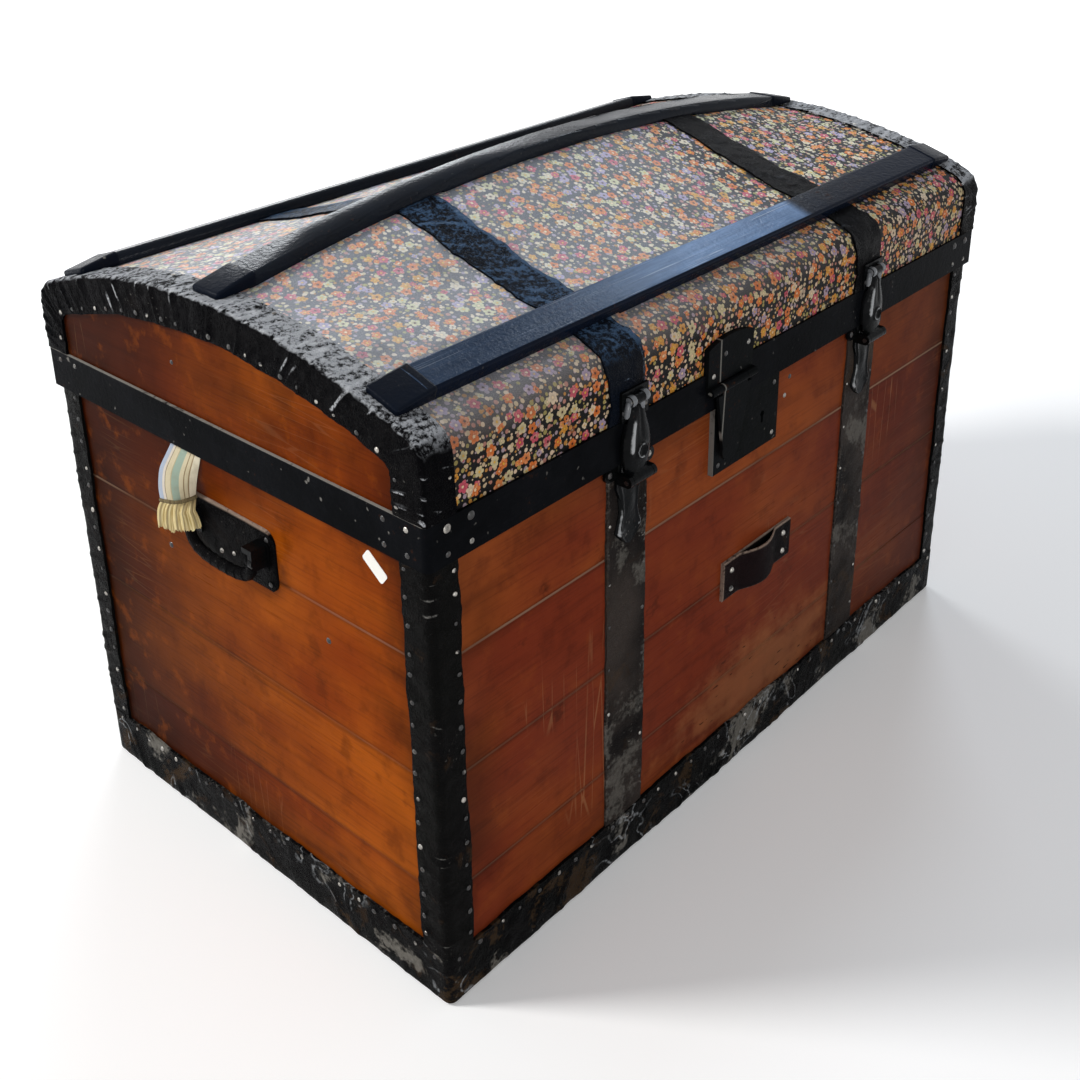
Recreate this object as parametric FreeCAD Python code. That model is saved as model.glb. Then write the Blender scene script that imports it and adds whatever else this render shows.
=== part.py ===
import FreeCAD, Part
import math
import os

# A dome top trunk: boarded box, hinged barrel lid, leather and iron bindings, lock and catches.
# Millimetres. X runs along the length, -Y is the front, +Z is up, the origin is under the middle.

# ---- box ----
box_length = 814.0            # over the end boards
box_depth = 482.0             # over the front and back boards
box_height = 437.0            # wall boards, up to the parting line
wall = 12.0                   # thickness of the wall boards
boards_per_wall = 4
board_chamfer = 1.2           # eased long edges, which draw the joint lines
floor_board = 12.0
floor_boards_count = 4
lining = 1.0                  # paper lining, box and lid

# ---- bindings on the box ----
binding = 3.0                 # leather thickness
corner_width = 30.0           # of a corner binding, on each face
corner_round = 8.0            # outer radius of the upright corners
bottom_height = 52.0          # of the bottom binding, up the wall
bottom_tuck = 40.0            # of the bottom binding, under the floor
strap_width = 52.0
strap = 2.0                   # thickness of the upright straps and of the lid straps
strap_places = (-184.0, 191.0)

# ---- lid ----
parting_gap = 0.95            # between the box walls and the lid walls
side_gap = 1.5                # between the box bindings and the rim band
lid_wall = 10.0               # rails, end panels and dome boards
cover = 1.5                   # cloth cover
lid_wall_rise = 57.0          # parting line to the start of the shoulder
shoulder = 24.0               # radius where the wall turns into the dome
dome_rise = 121.0             # parting line to the crown of the cover
dome_board_count = 9
ridge_rise = 34.0             # the dome is bowed along its length too: its rise at the middle
ridge_half = 20.0             # half width of the bowed ridge, under the middle slat
ridge_foot = 185.0            # the sides of the bow run down to here, out from the middle
ridge_sink = 4.0              # depth of their feet under the dome
band = 2.5                    # thickness of the rim band
band_rise = 15.0              # rim band above the parting line
band_drop = 22.0              # rim band below the parting line
band_round = 6.0
arch_face = 33.0              # width of the arch binding on the end panel
arch_top = 28.0               # width of the arch binding on the cover
arch_lip = 2.0                # thickness of the arch binding on the cover

# ---- slats ----
slat_width = 32.0
slat_height = 12.0
slat_side = 44.5              # middle of an outer slat, in from the side of the lid
slat_inset = 7.5              # slat ends, in from the ends of the lid
slat_edge = 3.0
slat_cap = 38.0               # length of the tin cap on each slat end
slat_cap_sheet = 1.0

# ---- hinges ----
barrel = 5.5                  # outer radius of the hinge knuckles
hinge_pin = 2.0               # radius
pin_fit = 0.05                # radial clearance of every pin in its knuckles
knuckle_gap = 0.4             # between neighbouring knuckles
hinge_width = 44.0
hinge_barrels = 3             # the odd ones belong to the lid's leaf
pin_end = 0.8                 # of every pin, past its last knuckle or lug
leaf = 2.5
leaf_below = 64.0             # lower leaf, down from the axis
leaf_above = 62.0             # upper leaf, up from the axis
barrel_stand_off = 1.5        # between the knuckles and the rim band

# ---- draw hasps ----
hasp_plate = 2.5
hasp_body = 34.0              # width of the plate between its ears
hasp_ears = 64.0              # over the ears
hasp_ear_height = 13.0
hasp_drop = 50.0              # plate, down from the rim band
hasp_axis_drop = 14.0         # pivot, below the rim band
hasp_axis_out = 12.5          # pivot, out from the strap
hasp_lever_width = 25.0
hasp_lever_waist = 19.0
hasp_lever_bulge = 31.0
hasp_lever_length = 63.0
hasp_lever_thick = 7.0
hasp_barrel = 5.0
hasp_pin = 2.0
hasp_lug = 4.0
hasp_tip = 12.0               # width of the plate at its lower end
hasp_gap = 1.0                # under the rim band, and between the lever and the catch's roll
hasp_edge = 2.0
catch_width = 34.0
catch_height = 26.0
catch_roll = 4.5
catch_overlap = 2.0           # roll, past each side of the lever's end
lever_clear = 0.8             # between a lever and the catch plate behind it

# ---- lock ----
lock_plate_width = 102.0
lock_plate_height = 67.0
lock_plate_centre = -15.5
lock_plate_thick = 5.0
lock_plate_gap = 1.0          # under the rim band
keyhole_radius = 3.0
keyhole_slot = 9.0
keyhole_deep = 3.0            # also the depth of the staple's recess
lock_centre = -51.0           # middle of the upper plate and of the tongue
lock_upper_width = 67.0
lock_upper_height = 37.0
lock_upper_arch = 6.0
lock_upper_plate = 2.5
lock_barrel = 4.0
lock_pin = 1.8
lock_axis_out = 5.0           # out from the rim band
tongue_width = 50.0
tongue_knuckle = 38.0
tongue_length = 75.0
tongue_tip = 13.0             # radius
tongue_thick = 3.0
staple_radius = 2.5
staple_length = 4.0
staple_room = 2.0             # around the staple, in the lock plate's recess
tongue_lean = 2.0             # degrees, towards the lock plate

# ---- end handles ----
handle_drop = 93.0            # plate centre, below the parting line
handle_shift = -4.0
handle_plate_length = 118.0
handle_plate_height = 58.0
handle_plate = 3.0
handle_plate_round = 12.0
grip_axis_rise = 5.0          # pivot, above the plate centre
grip_axis_out = 9.5           # pivot, out from the plate
grip_span = 84.0              # between the ends of the grip's curve
grip_sag = 25.0
grip_thick = 12.0
grip_width = 9.0
grip_proud = 0.6              # the grip's middle, out from its pivot
grip_eye = 6.5
grip_eye_width = 7.0
grip_pin = 3.0
cap_lug = 5.0
cap_hood = 5.0
cap_clear = 1.0
cap_foot = 1.5
cap_foot_edge = 4.0           # foot, below the lug
cap_foot_side = 2.0           # foot, outside the lug

# ---- front loop handle ----
loop_centre_x = 18.0
loop_centre_z = 224.5
loop_length = 114.0
loop_height = 41.0
loop_backing = 1.5
loop_strap = 2.0
loop_flat = 26.0              # flat at each end of the bowed strap
loop_bow = 9.0

# ---- small things ----
nail = 2.4                    # radius of the small nail heads
tack = 2.0                    # radius of the smallest
stud = 2.8                    # radius of the nail heads on hasps and hinges
rivet = 3.6                   # radius of the large dome rivets
head_rise = 0.45              # height of a head, as a share of its radius
nail_edge = 8.0               # from a plate's edge to the nails in it
band_nail_first = 18.0        # from the lid's end to the first rivet of the rim band
band_nail_second = 42.0
loop_nail_low = 11.0          # below and above the middle of the loop
loop_nail_high = 9.0
front_nail_left = 55.0        # two old nails beside the lock plate
front_nail_left_drop = 56.0
front_nail_right = 62.0
front_nail_right_drop = 39.0
end_nail_front = -121.0       # two old nails in the left end
end_nail_front_drop = 139.0
end_nail_back = 93.0
end_nail_back_drop = 137.0
lid_nail_back = 48.0          # an old nail in the lid's left panel
lid_nail_rise = 55.0
label_length = 26.0
label_height = 12.0
label_paper = 0.3
label_corner = 2.5
label_tilt = 38.0
label_inset = 57.5            # centre, in from the front of the end boards
label_drop = 44.5             # centre, below the parting line
tape_width = 38.0
tape_centre_y = 46.0
tape = 0.35                   # thickness
tape_drop = 67.0              # outside, down from the parting line to the hem
tape_inside = 60.0
tape_stand_off = 0.3          # clear of the boards
tape_flare = 16.0             # the free end stands out from the boards
tape_flare_length = 34.0

# ---- derived places ----
half_length = box_length / 2
half_depth = box_depth / 2
parting = binding + box_height
bound_length = half_length + binding
bound_depth = half_depth + binding
lid_length = bound_length + side_gap           # half, over the lid's end panels
lid_depth = bound_depth + side_gap             # half, over the cover
lid_bottom = parting + parting_gap
band_top = parting + band_rise
band_bottom = parting - band_drop
band_out = lid_depth + band                    # front face of the rim band
shoulder_z = parting + lid_wall_rise
crown = parting + dome_rise
shoulder_y = lid_depth - shoulder
drop = crown - shoulder_z
dome = (shoulder_y ** 2 + drop ** 2 - shoulder ** 2) / (2 * (drop - shoulder))
dome_z = crown - dome                          # height of the dome's centre line
shoulder_angle = math.atan2(shoulder_z - dome_z, shoulder_y)
floor_top = binding + floor_board
handle_height = parting - handle_drop
slat_spread = lid_depth - slat_side            # along the dome, from the middle slat
ridge_length = lid_length - slat_inset - slat_cap  # half: the bow ends where the slat caps start
ridge_bow = (ridge_length ** 2 + ridge_rise ** 2) / (2 * ridge_rise)
ridge_reach = ridge_length + 12.0


def box(x0, x1, y0, y1, z0, z1):
    return Part.makeBox(x1 - x0, y1 - y0, z1 - z0, FreeCAD.Vector(x0, y0, z0))


def middle_box(cx, cy, wx, wy, z0, z1):
    return box(cx - wx / 2, cx + wx / 2, cy - wy / 2, cy + wy / 2, z0, z1)


def rod(radius, length, start, direction):
    return Part.makeCylinder(radius, length, FreeCAD.Vector(*start), FreeCAD.Vector(*direction))


def rod_x(radius, x0, x1, y, z):
    return rod(radius, x1 - x0, (x0, y, z), (1, 0, 0))


def rod_y(radius, y0, y1, x, z):
    return rod(radius, y1 - y0, (x, y0, z), (0, 1, 0))


def across(points, x0, x1):
    """A polygon in the YZ plane, extruded along X."""
    wire = Part.makePolygon([FreeCAD.Vector(x0, y, z) for y, z in points + points[:1]])
    return Part.Face(wire).extrude(FreeCAD.Vector(x1 - x0, 0, 0))


def upright(points, z0, z1):
    """A polygon in the XY plane, extruded along Z."""
    wire = Part.makePolygon([FreeCAD.Vector(x, y, z0) for x, y in points + points[:1]])
    return Part.Face(wire).extrude(FreeCAD.Vector(0, 0, z1 - z0))


def outward(points, y0, y1):
    """A polygon in the XZ plane, extruded along Y."""
    wire = Part.makePolygon([FreeCAD.Vector(x, y0, z) for x, z in points + points[:1]])
    return Part.Face(wire).extrude(FreeCAD.Vector(0, y1 - y0, 0))


def mirror_x(shape):
    return shape.mirror(FreeCAD.Vector(0, 0, 0), FreeCAD.Vector(1, 0, 0))


def mirror_y(shape):
    return shape.mirror(FreeCAD.Vector(0, 0, 0), FreeCAD.Vector(0, 1, 0))


def fillet_where(shape, radius, wanted):
    return shape.makeFillet(radius, [edge for edge in shape.Edges if wanted(edge)])


def spans(edge):
    size = edge.BoundBox
    return size.XLength, size.YLength, size.ZLength


def is_upright(edge):
    dx, dy, dz = spans(edge)
    return dx < 1e-6 and dy < 1e-6 and dz > 1e-6


def is_lengthwise(edge):
    dx, dy, dz = spans(edge)
    return dy < 1e-6 and dz < 1e-6 and dx > 1e-6


def arc_yz(x, cy, cz, radius, a0, a1):
    middle = (a0 + a1) / 2
    ends = [FreeCAD.Vector(x, cy + radius * math.cos(a), cz + radius * math.sin(a)) for a in (a0, middle, a1)]
    return Part.Arc(*ends).toShape()


def line(p, q):
    return Part.LineSegment(p, q).toShape()


def sector(cy, cz, r_in, r_out, a0, a1, x0, x1):
    """A ring sector about an X axis through (cy, cz), extruded along X."""
    outer = arc_yz(x0, cy, cz, r_out, a0, a1)
    inner = arc_yz(x0, cy, cz, r_in, a0, a1)
    first = line(inner.Vertexes[0].Point, outer.Vertexes[0].Point)
    last = line(outer.Vertexes[-1].Point, inner.Vertexes[-1].Point)
    wire = Part.Wire(Part.__sortEdges__([outer, last, inner, first]))
    return Part.Face(wire).extrude(FreeCAD.Vector(x1 - x0, 0, 0))


def dome_sector(r_in, r_out, y_from, y_to, x0, x1):
    """A sector of the dome between two places across the lid, measured along its surface."""
    a0 = math.pi / 2 - y_from / dome
    a1 = math.pi / 2 - y_to / dome
    return sector(0, dome_z, r_in, r_out, a0, a1, x0, x1)


def lid_block(inset, x0, x1, z0=lid_bottom):
    """The whole lid section, drawn in by inset from the outside of the cover."""
    y = lid_depth - inset
    radius = dome - inset
    small = shoulder - inset
    if small > 0.5:
        right = arc_yz(x0, shoulder_y, shoulder_z, small, 0, shoulder_angle)
        left = arc_yz(x0, -shoulder_y, shoulder_z, small, math.pi - shoulder_angle, math.pi)
        top = arc_yz(x0, 0, dome_z, radius, shoulder_angle, math.pi - shoulder_angle)
        rims = [right, top, left]
    else:
        angle = math.acos(y / radius)
        rims = [arc_yz(x0, 0, dome_z, radius, angle, math.pi - angle)]
    bottom_right = FreeCAD.Vector(x0, y, z0)
    bottom_left = FreeCAD.Vector(x0, -y, z0)
    edges = rims + [
        line(bottom_right, rims[0].Vertexes[0].Point),
        line(rims[-1].Vertexes[-1].Point, bottom_left),
        line(bottom_left, bottom_right),
    ]
    wire = Part.Wire(Part.__sortEdges__(edges))
    return Part.Face(wire).extrude(FreeCAD.Vector(x1 - x0, 0, 0))


def head(radius, place, normal):
    """A domed nail head on a surface, with its base at place."""
    height = radius * head_rise
    sphere = (radius ** 2 + height ** 2) / (2 * height)
    flat = FreeCAD.Vector(radius, 0, 0)
    tip = FreeCAD.Vector(0, 0, height)
    angle = math.asin(radius / sphere) / 2
    side = FreeCAD.Vector(sphere * math.sin(angle), 0, height - sphere + sphere * math.cos(angle))
    centre = FreeCAD.Vector(0, 0, 0)
    wire = Part.Wire([line(centre, flat), Part.Arc(flat, side, tip).toShape(), line(tip, centre)])
    solid = Part.Face(wire).revolve(centre, FreeCAD.Vector(0, 0, 1), 360)
    turn = FreeCAD.Rotation(FreeCAD.Vector(0, 0, 1), FreeCAD.Vector(*normal))
    solid.Placement = FreeCAD.Placement(FreeCAD.Vector(*place), turn)
    return solid


def save(name, shapes):
    group = shapes if isinstance(shapes, list) else [shapes]
    solids = [solid for shape in group for solid in shape.Solids]
    for solid in solids:
        if not solid.isValid() or solid.Volume <= 0:
            raise ValueError("bad solid in " + name)
    whole = solids[0] if len(solids) == 1 else Part.makeCompound(solids)
    whole.exportStep("parts/" + name + ".step")
    print(name, len(solids), "solids", round(sum(s.Volume for s in solids) / 1000, 1), "cm3")


# ---- box ----
def board(length, thickness, height):
    """A board lying along X with its long outer edges eased, its outside towards -Y."""
    c = board_chamfer
    points = [(0, c), (c, 0), (thickness, 0), (thickness, height), (c, height), (0, height - c)]
    return across(points, -length / 2, length / 2)


def boarded_wall(length, distance, turn):
    pitch = box_height / boards_per_wall
    boards = []
    for row in range(boards_per_wall):
        piece = board(length, wall, pitch)
        piece.translate(FreeCAD.Vector(0, -distance, binding + row * pitch))
        piece.rotate(FreeCAD.Vector(0, 0, 0), FreeCAD.Vector(0, 0, 1), turn)
        boards.append(piece)
    return boards


def make_box_boards():
    save("front_boards", boarded_wall(box_length, half_depth, 0))
    save("back_boards", boarded_wall(box_length, half_depth, 180))
    inside = box_depth - 2 * wall
    save("left_end_boards", boarded_wall(inside, half_length, -90))
    save("right_end_boards", boarded_wall(inside, half_length, 90))
    pitch = (box_depth - 2 * wall) / floor_boards_count
    x = half_length - wall
    first = wall - half_depth
    rows = range(floor_boards_count)
    floor = [box(-x, x, first + i * pitch, first + (i + 1) * pitch, binding, floor_top) for i in rows]
    save("floor_boards", floor)


def make_box_lining():
    x = half_length - wall
    y = half_depth - wall
    outside = box(-x, x, -y, y, floor_top, parting)
    inside = box(lining - x, x - lining, lining - y, y - lining, floor_top + lining, parting)
    save("box_lining", outside.cut(inside))


def wood_block():
    return box(-half_length, half_length, -half_depth, half_depth, binding, parting)


def bound_block(z0, z1):
    block = box(-bound_length, bound_length, -bound_depth, bound_depth, z0, z1)
    return fillet_where(block, corner_round, is_upright)


def mitre(length, depth, z0, z1):
    """The front quarter and the left quarter of a rectangular ring, cut at 45 degrees."""
    run = depth / 2
    front = upright([(-length, -depth), (length, -depth), (length - run, -run), (run - length, -run)], z0, z1)
    left = upright([(-length, -depth), (run - length, -run), (run - length, run), (-length, depth)], z0, z1)
    return front, left


def make_box_bindings():
    shell = bound_block(bottom_height, parting - 2 * parting_gap).cut(wood_block())
    corner = box(-bound_length, corner_width - bound_length, -bound_depth, corner_width - bound_depth, 0, parting)
    piece = shell.common(corner)
    save("corner_binding_front_left", piece)
    save("corner_binding_front_right", mirror_x(piece))
    save("corner_binding_back_left", mirror_y(piece))
    save("corner_binding_back_right", mirror_x(mirror_y(piece)))
    x = bound_length - bottom_tuck
    y = bound_depth - bottom_tuck
    ring = bound_block(0, bottom_height).cut(wood_block()).cut(box(-x, x, -y, y, 0, binding))
    front_cut, left_cut = mitre(bound_length, bound_depth, 0, bottom_height)
    front = ring.common(front_cut)
    left = ring.common(left_cut)
    save("bottom_binding_front", front)
    save("bottom_binding_back", mirror_y(front))
    save("bottom_binding_left", left)
    save("bottom_binding_right", mirror_x(left))


def make_box_straps():
    top = parting - 2 * parting_gap
    straps = [middle_box(x, -half_depth - strap / 2, strap_width, strap, bottom_height, top) for x in strap_places]
    save("front_straps", straps)
    save("back_straps", [mirror_y(piece) for piece in straps])
    x = bound_length - corner_round
    back = box(-x, x, bound_depth, bound_depth + band, band_bottom, parting - 1)
    save("back_band", back)


# ---- lid ----
def ridge_outline(y, lift, z0):
    """An upright outline under the bowed line of the ridge, in the plane of y."""
    end_z = crown + lift + ridge_rise - ridge_bow + math.sqrt(ridge_bow ** 2 - ridge_reach ** 2)
    a = FreeCAD.Vector(-ridge_reach, y, z0)
    b = FreeCAD.Vector(ridge_reach, y, z0)
    c = FreeCAD.Vector(ridge_reach, y, end_z)
    d = FreeCAD.Vector(-ridge_reach, y, end_z)
    bow = Part.Arc(c, FreeCAD.Vector(0, y, crown + lift + ridge_rise), d).toShape()
    return Part.Wire([line(a, b), line(b, c), bow, line(d, a)])


def ridge_block(lift):
    """The bow of the dome: a ridge along the middle, with a ruled side down to each foot."""
    z0 = shoulder_z - shoulder
    foot_z = dome_z + math.sqrt(dome ** 2 - ridge_foot ** 2) - ridge_sink + lift
    x = ridge_reach
    corners = [(-x, z0), (x, z0), (x, foot_z), (-x, foot_z)]
    points = [FreeCAD.Vector(px, -ridge_foot, pz) for px, pz in corners]
    foot = Part.Wire([line(points[i], points[(i + 1) % 4]) for i in range(4)])
    front = Part.makeLoft([foot, ridge_outline(-ridge_half, lift, z0)], True, True)
    middle = Part.Face(ridge_outline(-ridge_half, lift, z0)).extrude(FreeCAD.Vector(0, 2 * ridge_half, 0))
    return front, middle, mirror_y(front)


def bowed_block(inset, x0, x1, z0=lid_bottom):
    """The lid section with the bow of its dome."""
    block = lid_block(inset, x0, x1, z0)
    limit = box(x0, x1, -lid_depth, lid_depth, z0, crown + 2 * ridge_rise)
    return block.fuse([piece.common(limit) for piece in ridge_block(-inset)])


def make_lid_boards():
    shell = bowed_block(cover, -lid_length, lid_length).cut(bowed_block(cover + lid_wall, -lid_length, lid_length))
    reach = dome * 2
    far_y = reach * math.cos(shoulder_angle)
    far_z = dome_z + reach * math.sin(shoulder_angle)
    side = [(0, dome_z), (far_y, far_z), (reach, far_z), (reach, dome_z)]
    back_rail = shell.common(across(side, -lid_length, lid_length))
    save("lid_back_rail", back_rail)
    save("lid_front_rail", mirror_y(back_rail))
    step = (math.pi - 2 * shoulder_angle) / dome_board_count
    r_in = dome - 3 * lid_wall
    r_out = dome + 2 * ridge_rise
    boards = []
    for i in range(dome_board_count):
        a0 = shoulder_angle + i * step
        wedge = sector(0, dome_z, r_in, r_out, a0, a0 + step, -lid_length, lid_length)
        boards.append(shell.common(wedge))
    save("dome_boards", boards)
    panel = lid_block(cover + lid_wall, -lid_length, lid_wall - lid_length)
    save("lid_left_panel", panel)
    save("lid_right_panel", mirror_x(panel))


def make_lid_skins():
    notch = bowed_block(0, -lid_length, lid_length).cut(bowed_block(cover, -lid_length, lid_length))
    save("lid_cover", notch)
    x = lid_length - lid_wall
    whole = bowed_block(cover + lid_wall, -x, x)
    hollow = bowed_block(cover + lid_wall + lining, lining - x, x - lining)
    save("lid_lining", whole.cut(hollow))


def make_rim_band():
    x = lid_length + band
    outside = fillet_where(box(-x, x, -band_out, band_out, band_bottom, band_top), band_round, is_upright)
    inside = box(-lid_length, lid_length, -lid_depth, lid_depth, band_bottom, band_top)
    ring = outside.cut(inside)
    front_cut, left_cut = mitre(x, band_out, band_bottom, band_top)
    front = ring.common(front_cut)
    left = ring.common(left_cut)
    save("rim_band_front", front)
    save("rim_band_left_end", left)
    save("rim_band_right_end", mirror_x(left))
    above = box(-x, x, 0, band_out, lid_bottom, band_top)
    save("rim_band_back", mirror_y(front).common(above))


def arch_binding():
    """The left arch binding: a strip on the end panel, turned over the edge of the cover."""
    x = -lid_length
    face = lid_block(-arch_lip, x - band, x, band_top).cut(lid_block(arch_face - arch_lip, x - band, x, band_top - 1))
    lip = lid_block(-arch_lip, x, x + arch_top, band_top).cut(lid_block(0, x, x + arch_top, band_top - 1))
    return face.fuse(lip).removeSplitter()


def lid_strap(x):
    x0 = x - strap_width / 2
    x1 = x + strap_width / 2
    return bowed_block(-strap, x0, x1, band_top).cut(bowed_block(0, x0, x1, band_top - 1))


def slat_bar(grow, x0, x1):
    w = slat_width / 2 + grow
    bar = dome_sector(dome, dome + slat_height + grow, -w, w, x0, x1)
    top = dome_z + dome + slat_height
    return fillet_where(bar, slat_edge, lambda e: is_lengthwise(e) and e.BoundBox.ZMax > top - 1)


def bowed_slat(x0, x1):
    """The middle slat, bent over the bow of the dome."""
    w = slat_width / 2
    bent = Part.Face(ridge_outline(-w, slat_height, crown - ridge_sink)).extrude(FreeCAD.Vector(0, 2 * w, 0))
    bent = fillet_where(bent, slat_edge, lambda e: e.BoundBox.ZMax > crown + ridge_rise and spans(e)[1] < 1e-6)
    return slat_bar(0, x0, x1).fuse(bent).cut(bowed_block(0, x0, x1, band_top))


def tilt(shape, place):
    """Moves a shape from the crown of the dome to a place across it, square to the surface."""
    turned = shape.copy()
    turned.rotate(FreeCAD.Vector(0, 0, dome_z), FreeCAD.Vector(1, 0, 0), -math.degrees(place / dome))
    return turned


def make_lid_trim():
    left_arch = arch_binding()
    right_arch = mirror_x(left_arch)
    save("arch_binding_left", left_arch)
    save("arch_binding_right", right_arch)
    straps = [lid_strap(x) for x in strap_places]
    save("lid_straps", straps)
    x = lid_length - slat_inset
    under = Part.makeCompound([left_arch, right_arch] + straps)
    caps = []
    for name, place in (("front", -slat_spread), ("middle", 0.0), ("back", slat_spread)):
        slat = tilt(slat_bar(0, -x, x), place) if place else bowed_slat(-x, x)
        hood = slat_bar(slat_cap_sheet, -x - slat_cap_sheet, slat_cap - x).cut(slat_bar(0, -x, x))
        hood = tilt(hood, place).cut(under)
        caps += [hood, mirror_x(hood)]
        save("slat_" + name, slat.cut(under))
    save("slat_end_caps", caps)


# ---- hinges ----
hinge_y = band_out + barrel_stand_off + barrel
hinge_z = parting + parting_gap / 2


def knuckles(x, width, count, wanted, radius, bore, y, z):
    """The knuckles of one leaf: every second barrel of a row along X, with the bore through them."""
    pitch = width / count
    barrels = []
    for i in wanted:
        x0 = x - width / 2 + i * pitch + knuckle_gap / 2
        x1 = x0 + pitch - knuckle_gap
        barrels.append((x0, x1, rod_x(radius, x0, x1, y, z).cut(rod_x(bore, x0 - 1, x1 + 1, y, z))))
    return barrels


def hinge_leaf(x, wanted, profile, face, up):
    """A leaf from its YZ outline, with its barrels and a web from the leaf's face to each of them.
    It is cut back beside the other leaf's barrels. up is 1 for the lid's leaf, -1 for the box's."""
    bore = hinge_pin + pin_fit
    plate = across(profile, x - hinge_width / 2, x + hinge_width / 2)
    pitch = hinge_width / hinge_barrels
    reach = barrel + 2 * knuckle_gap
    for i in range(hinge_barrels):
        if i not in wanted:
            x0 = x - hinge_width / 2 + i * pitch - knuckle_gap / 2
            plate = plate.cut(box(x0, x0 + pitch + knuckle_gap, 0, hinge_y, hinge_z - reach, hinge_z + reach))
    far = hinge_z + up * 2 * barrel
    web = [(face, far), (face + leaf, far), (hinge_y, hinge_z + up * 0.9 * barrel), (hinge_y, hinge_z), (face, hinge_z)]
    for x0, x1, piece in knuckles(x, hinge_width, hinge_barrels, wanted, barrel, bore, hinge_y, hinge_z):
        plate = plate.fuse(across(web, x0, x1)).fuse(piece)
    return plate.cut(rod_x(bore, x - hinge_width, x + hinge_width, hinge_y, hinge_z)).removeSplitter()


def make_hinges():
    strap_face = half_depth + strap
    band_face = bound_depth + band
    step = band_bottom - (band_face - strap_face)
    low = [
        (strap_face, hinge_z - leaf_below),
        (strap_face + leaf, hinge_z - leaf_below),
        (strap_face + leaf, step),
        (band_face + leaf, band_bottom),
        (band_face + leaf, hinge_z),
        (band_face, hinge_z),
        (band_face, band_bottom),
        (strap_face, step),
    ]
    high = [
        (band_out, hinge_z),
        (band_out + leaf, hinge_z),
        (band_out + leaf, hinge_z + leaf_above),
        (band_out, hinge_z + leaf_above),
    ]
    outer = range(0, hinge_barrels, 2)
    inner = range(1, hinge_barrels, 2)
    save("hinge_lower_leaves", [hinge_leaf(x, outer, low, band_face, -1) for x in strap_places])
    save("hinge_upper_leaves", [hinge_leaf(x, inner, high, band_out, 1) for x in strap_places])
    half = hinge_width / 2 + pin_end
    save("hinge_pins", [rod_x(hinge_pin, x - half, x + half, hinge_y, hinge_z) for x in strap_places])


# ---- draw hasps ----
strap_front = -half_depth - strap
hasp_y = strap_front - hasp_axis_out
hasp_z = band_bottom - hasp_axis_drop
lid_strap_front = -lid_depth - strap


def hasp_base(x):
    """The plate that carries the lever: a tapered body, two ears and two lugs."""
    top = band_bottom - hasp_gap
    bottom = band_bottom - hasp_drop
    shoulder_low = hasp_z - 2 * hasp_barrel
    half = hasp_body / 2
    tip = hasp_tip / 2
    outline = [(x - half, top), (x - half, shoulder_low), (x - tip, bottom), (x + tip, bottom), (x + half, shoulder_low)]
    front = strap_front - hasp_plate
    plate = outward(outline + [(x + half, top)], front, strap_front)
    ear = hasp_ear_height / 2
    reach = hasp_ears / 2 - ear
    plate = plate.fuse(box(x - reach, x + reach, front, strap_front, top - 2 * ear, top))
    inner = hasp_lever_width / 2 + knuckle_gap
    for side in (-1, 1):
        plate = plate.fuse(rod_y(ear, front, strap_front, x + side * reach, top - ear))
        a, b = sorted((x + side * inner, x + side * (inner + hasp_lug)))
        plate = plate.fuse(box(a, b, hasp_y, front, hasp_z - hasp_barrel, hasp_z + hasp_barrel))
        plate = plate.fuse(rod_x(hasp_barrel, a, b, hasp_y, hasp_z))
    return plate.cut(rod_x(hasp_pin + pin_fit, x - hasp_body, x + hasp_body, hasp_y, hasp_z)).removeSplitter()


def hasp_lever(x):
    """The lever: a barrel on the pin and a bulged arm that rises in front of the rim band."""
    back = lid_strap_front - hasp_plate - lever_clear
    front = back - hasp_lever_thick
    top = hasp_z + hasp_lever_length
    low = hasp_z + 1.5 * hasp_barrel
    width = hasp_lever_width / 2
    waist = hasp_lever_waist / 2
    bulge = hasp_lever_bulge / 2

    def point(dx, z):
        return FreeCAD.Vector(x + dx, back, z)

    middle = (low + top) / 2
    edges = [
        line(point(-width, hasp_z), point(width, hasp_z)),
        line(point(width, hasp_z), point(width, low)),
        Part.Arc(point(width, low), point(bulge, middle), point(waist, top)).toShape(),
        line(point(waist, top), point(-waist, top)),
        Part.Arc(point(-waist, top), point(-bulge, middle), point(-width, low)).toShape(),
        line(point(-width, low), point(-width, hasp_z)),
    ]
    arm = Part.Face(Part.Wire(edges)).extrude(FreeCAD.Vector(0, front - back, 0))
    arm = fillet_where(arm, hasp_edge, lambda e: abs(e.BoundBox.YMax - front) < 1e-4 and e.BoundBox.ZMax > low)
    roll = rod_x(hasp_barrel, x - width, x + width, hasp_y, hasp_z)
    return arm.fuse(roll).cut(rod_x(hasp_pin + pin_fit, x - bulge, x + bulge, hasp_y, hasp_z)).removeSplitter()


def hasp_catch(x):
    """The catch on the lid: a plate with a roll above the end of the lever."""
    face = lid_strap_front - hasp_plate
    plate = middle_box(x, (face + lid_strap_front) / 2, catch_width, hasp_plate, band_top, band_top + catch_height)
    roll_z = hasp_z + hasp_lever_length + hasp_gap + catch_roll
    half = hasp_lever_waist / 2 + catch_overlap
    roll = rod_x(catch_roll, x - half, x + half, face - catch_roll / 2, roll_z)
    return plate.fuse(roll).removeSplitter()


def make_hasps():
    names = ("left", "right")
    for name, x in zip(names, strap_places):
        save("hasp_plate_" + name, hasp_base(x))
        save("hasp_lever_" + name, hasp_lever(x))
    half = hasp_lever_width / 2 + knuckle_gap + hasp_lug + pin_end
    save("hasp_pins", [rod_x(hasp_pin, x - half, x + half, hasp_y, hasp_z) for x in strap_places])
    save("hasp_catches", [hasp_catch(x) for x in strap_places])


# ---- lock ----
lock_y = -band_out - lock_axis_out
lock_z = parting - 1.0


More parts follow.
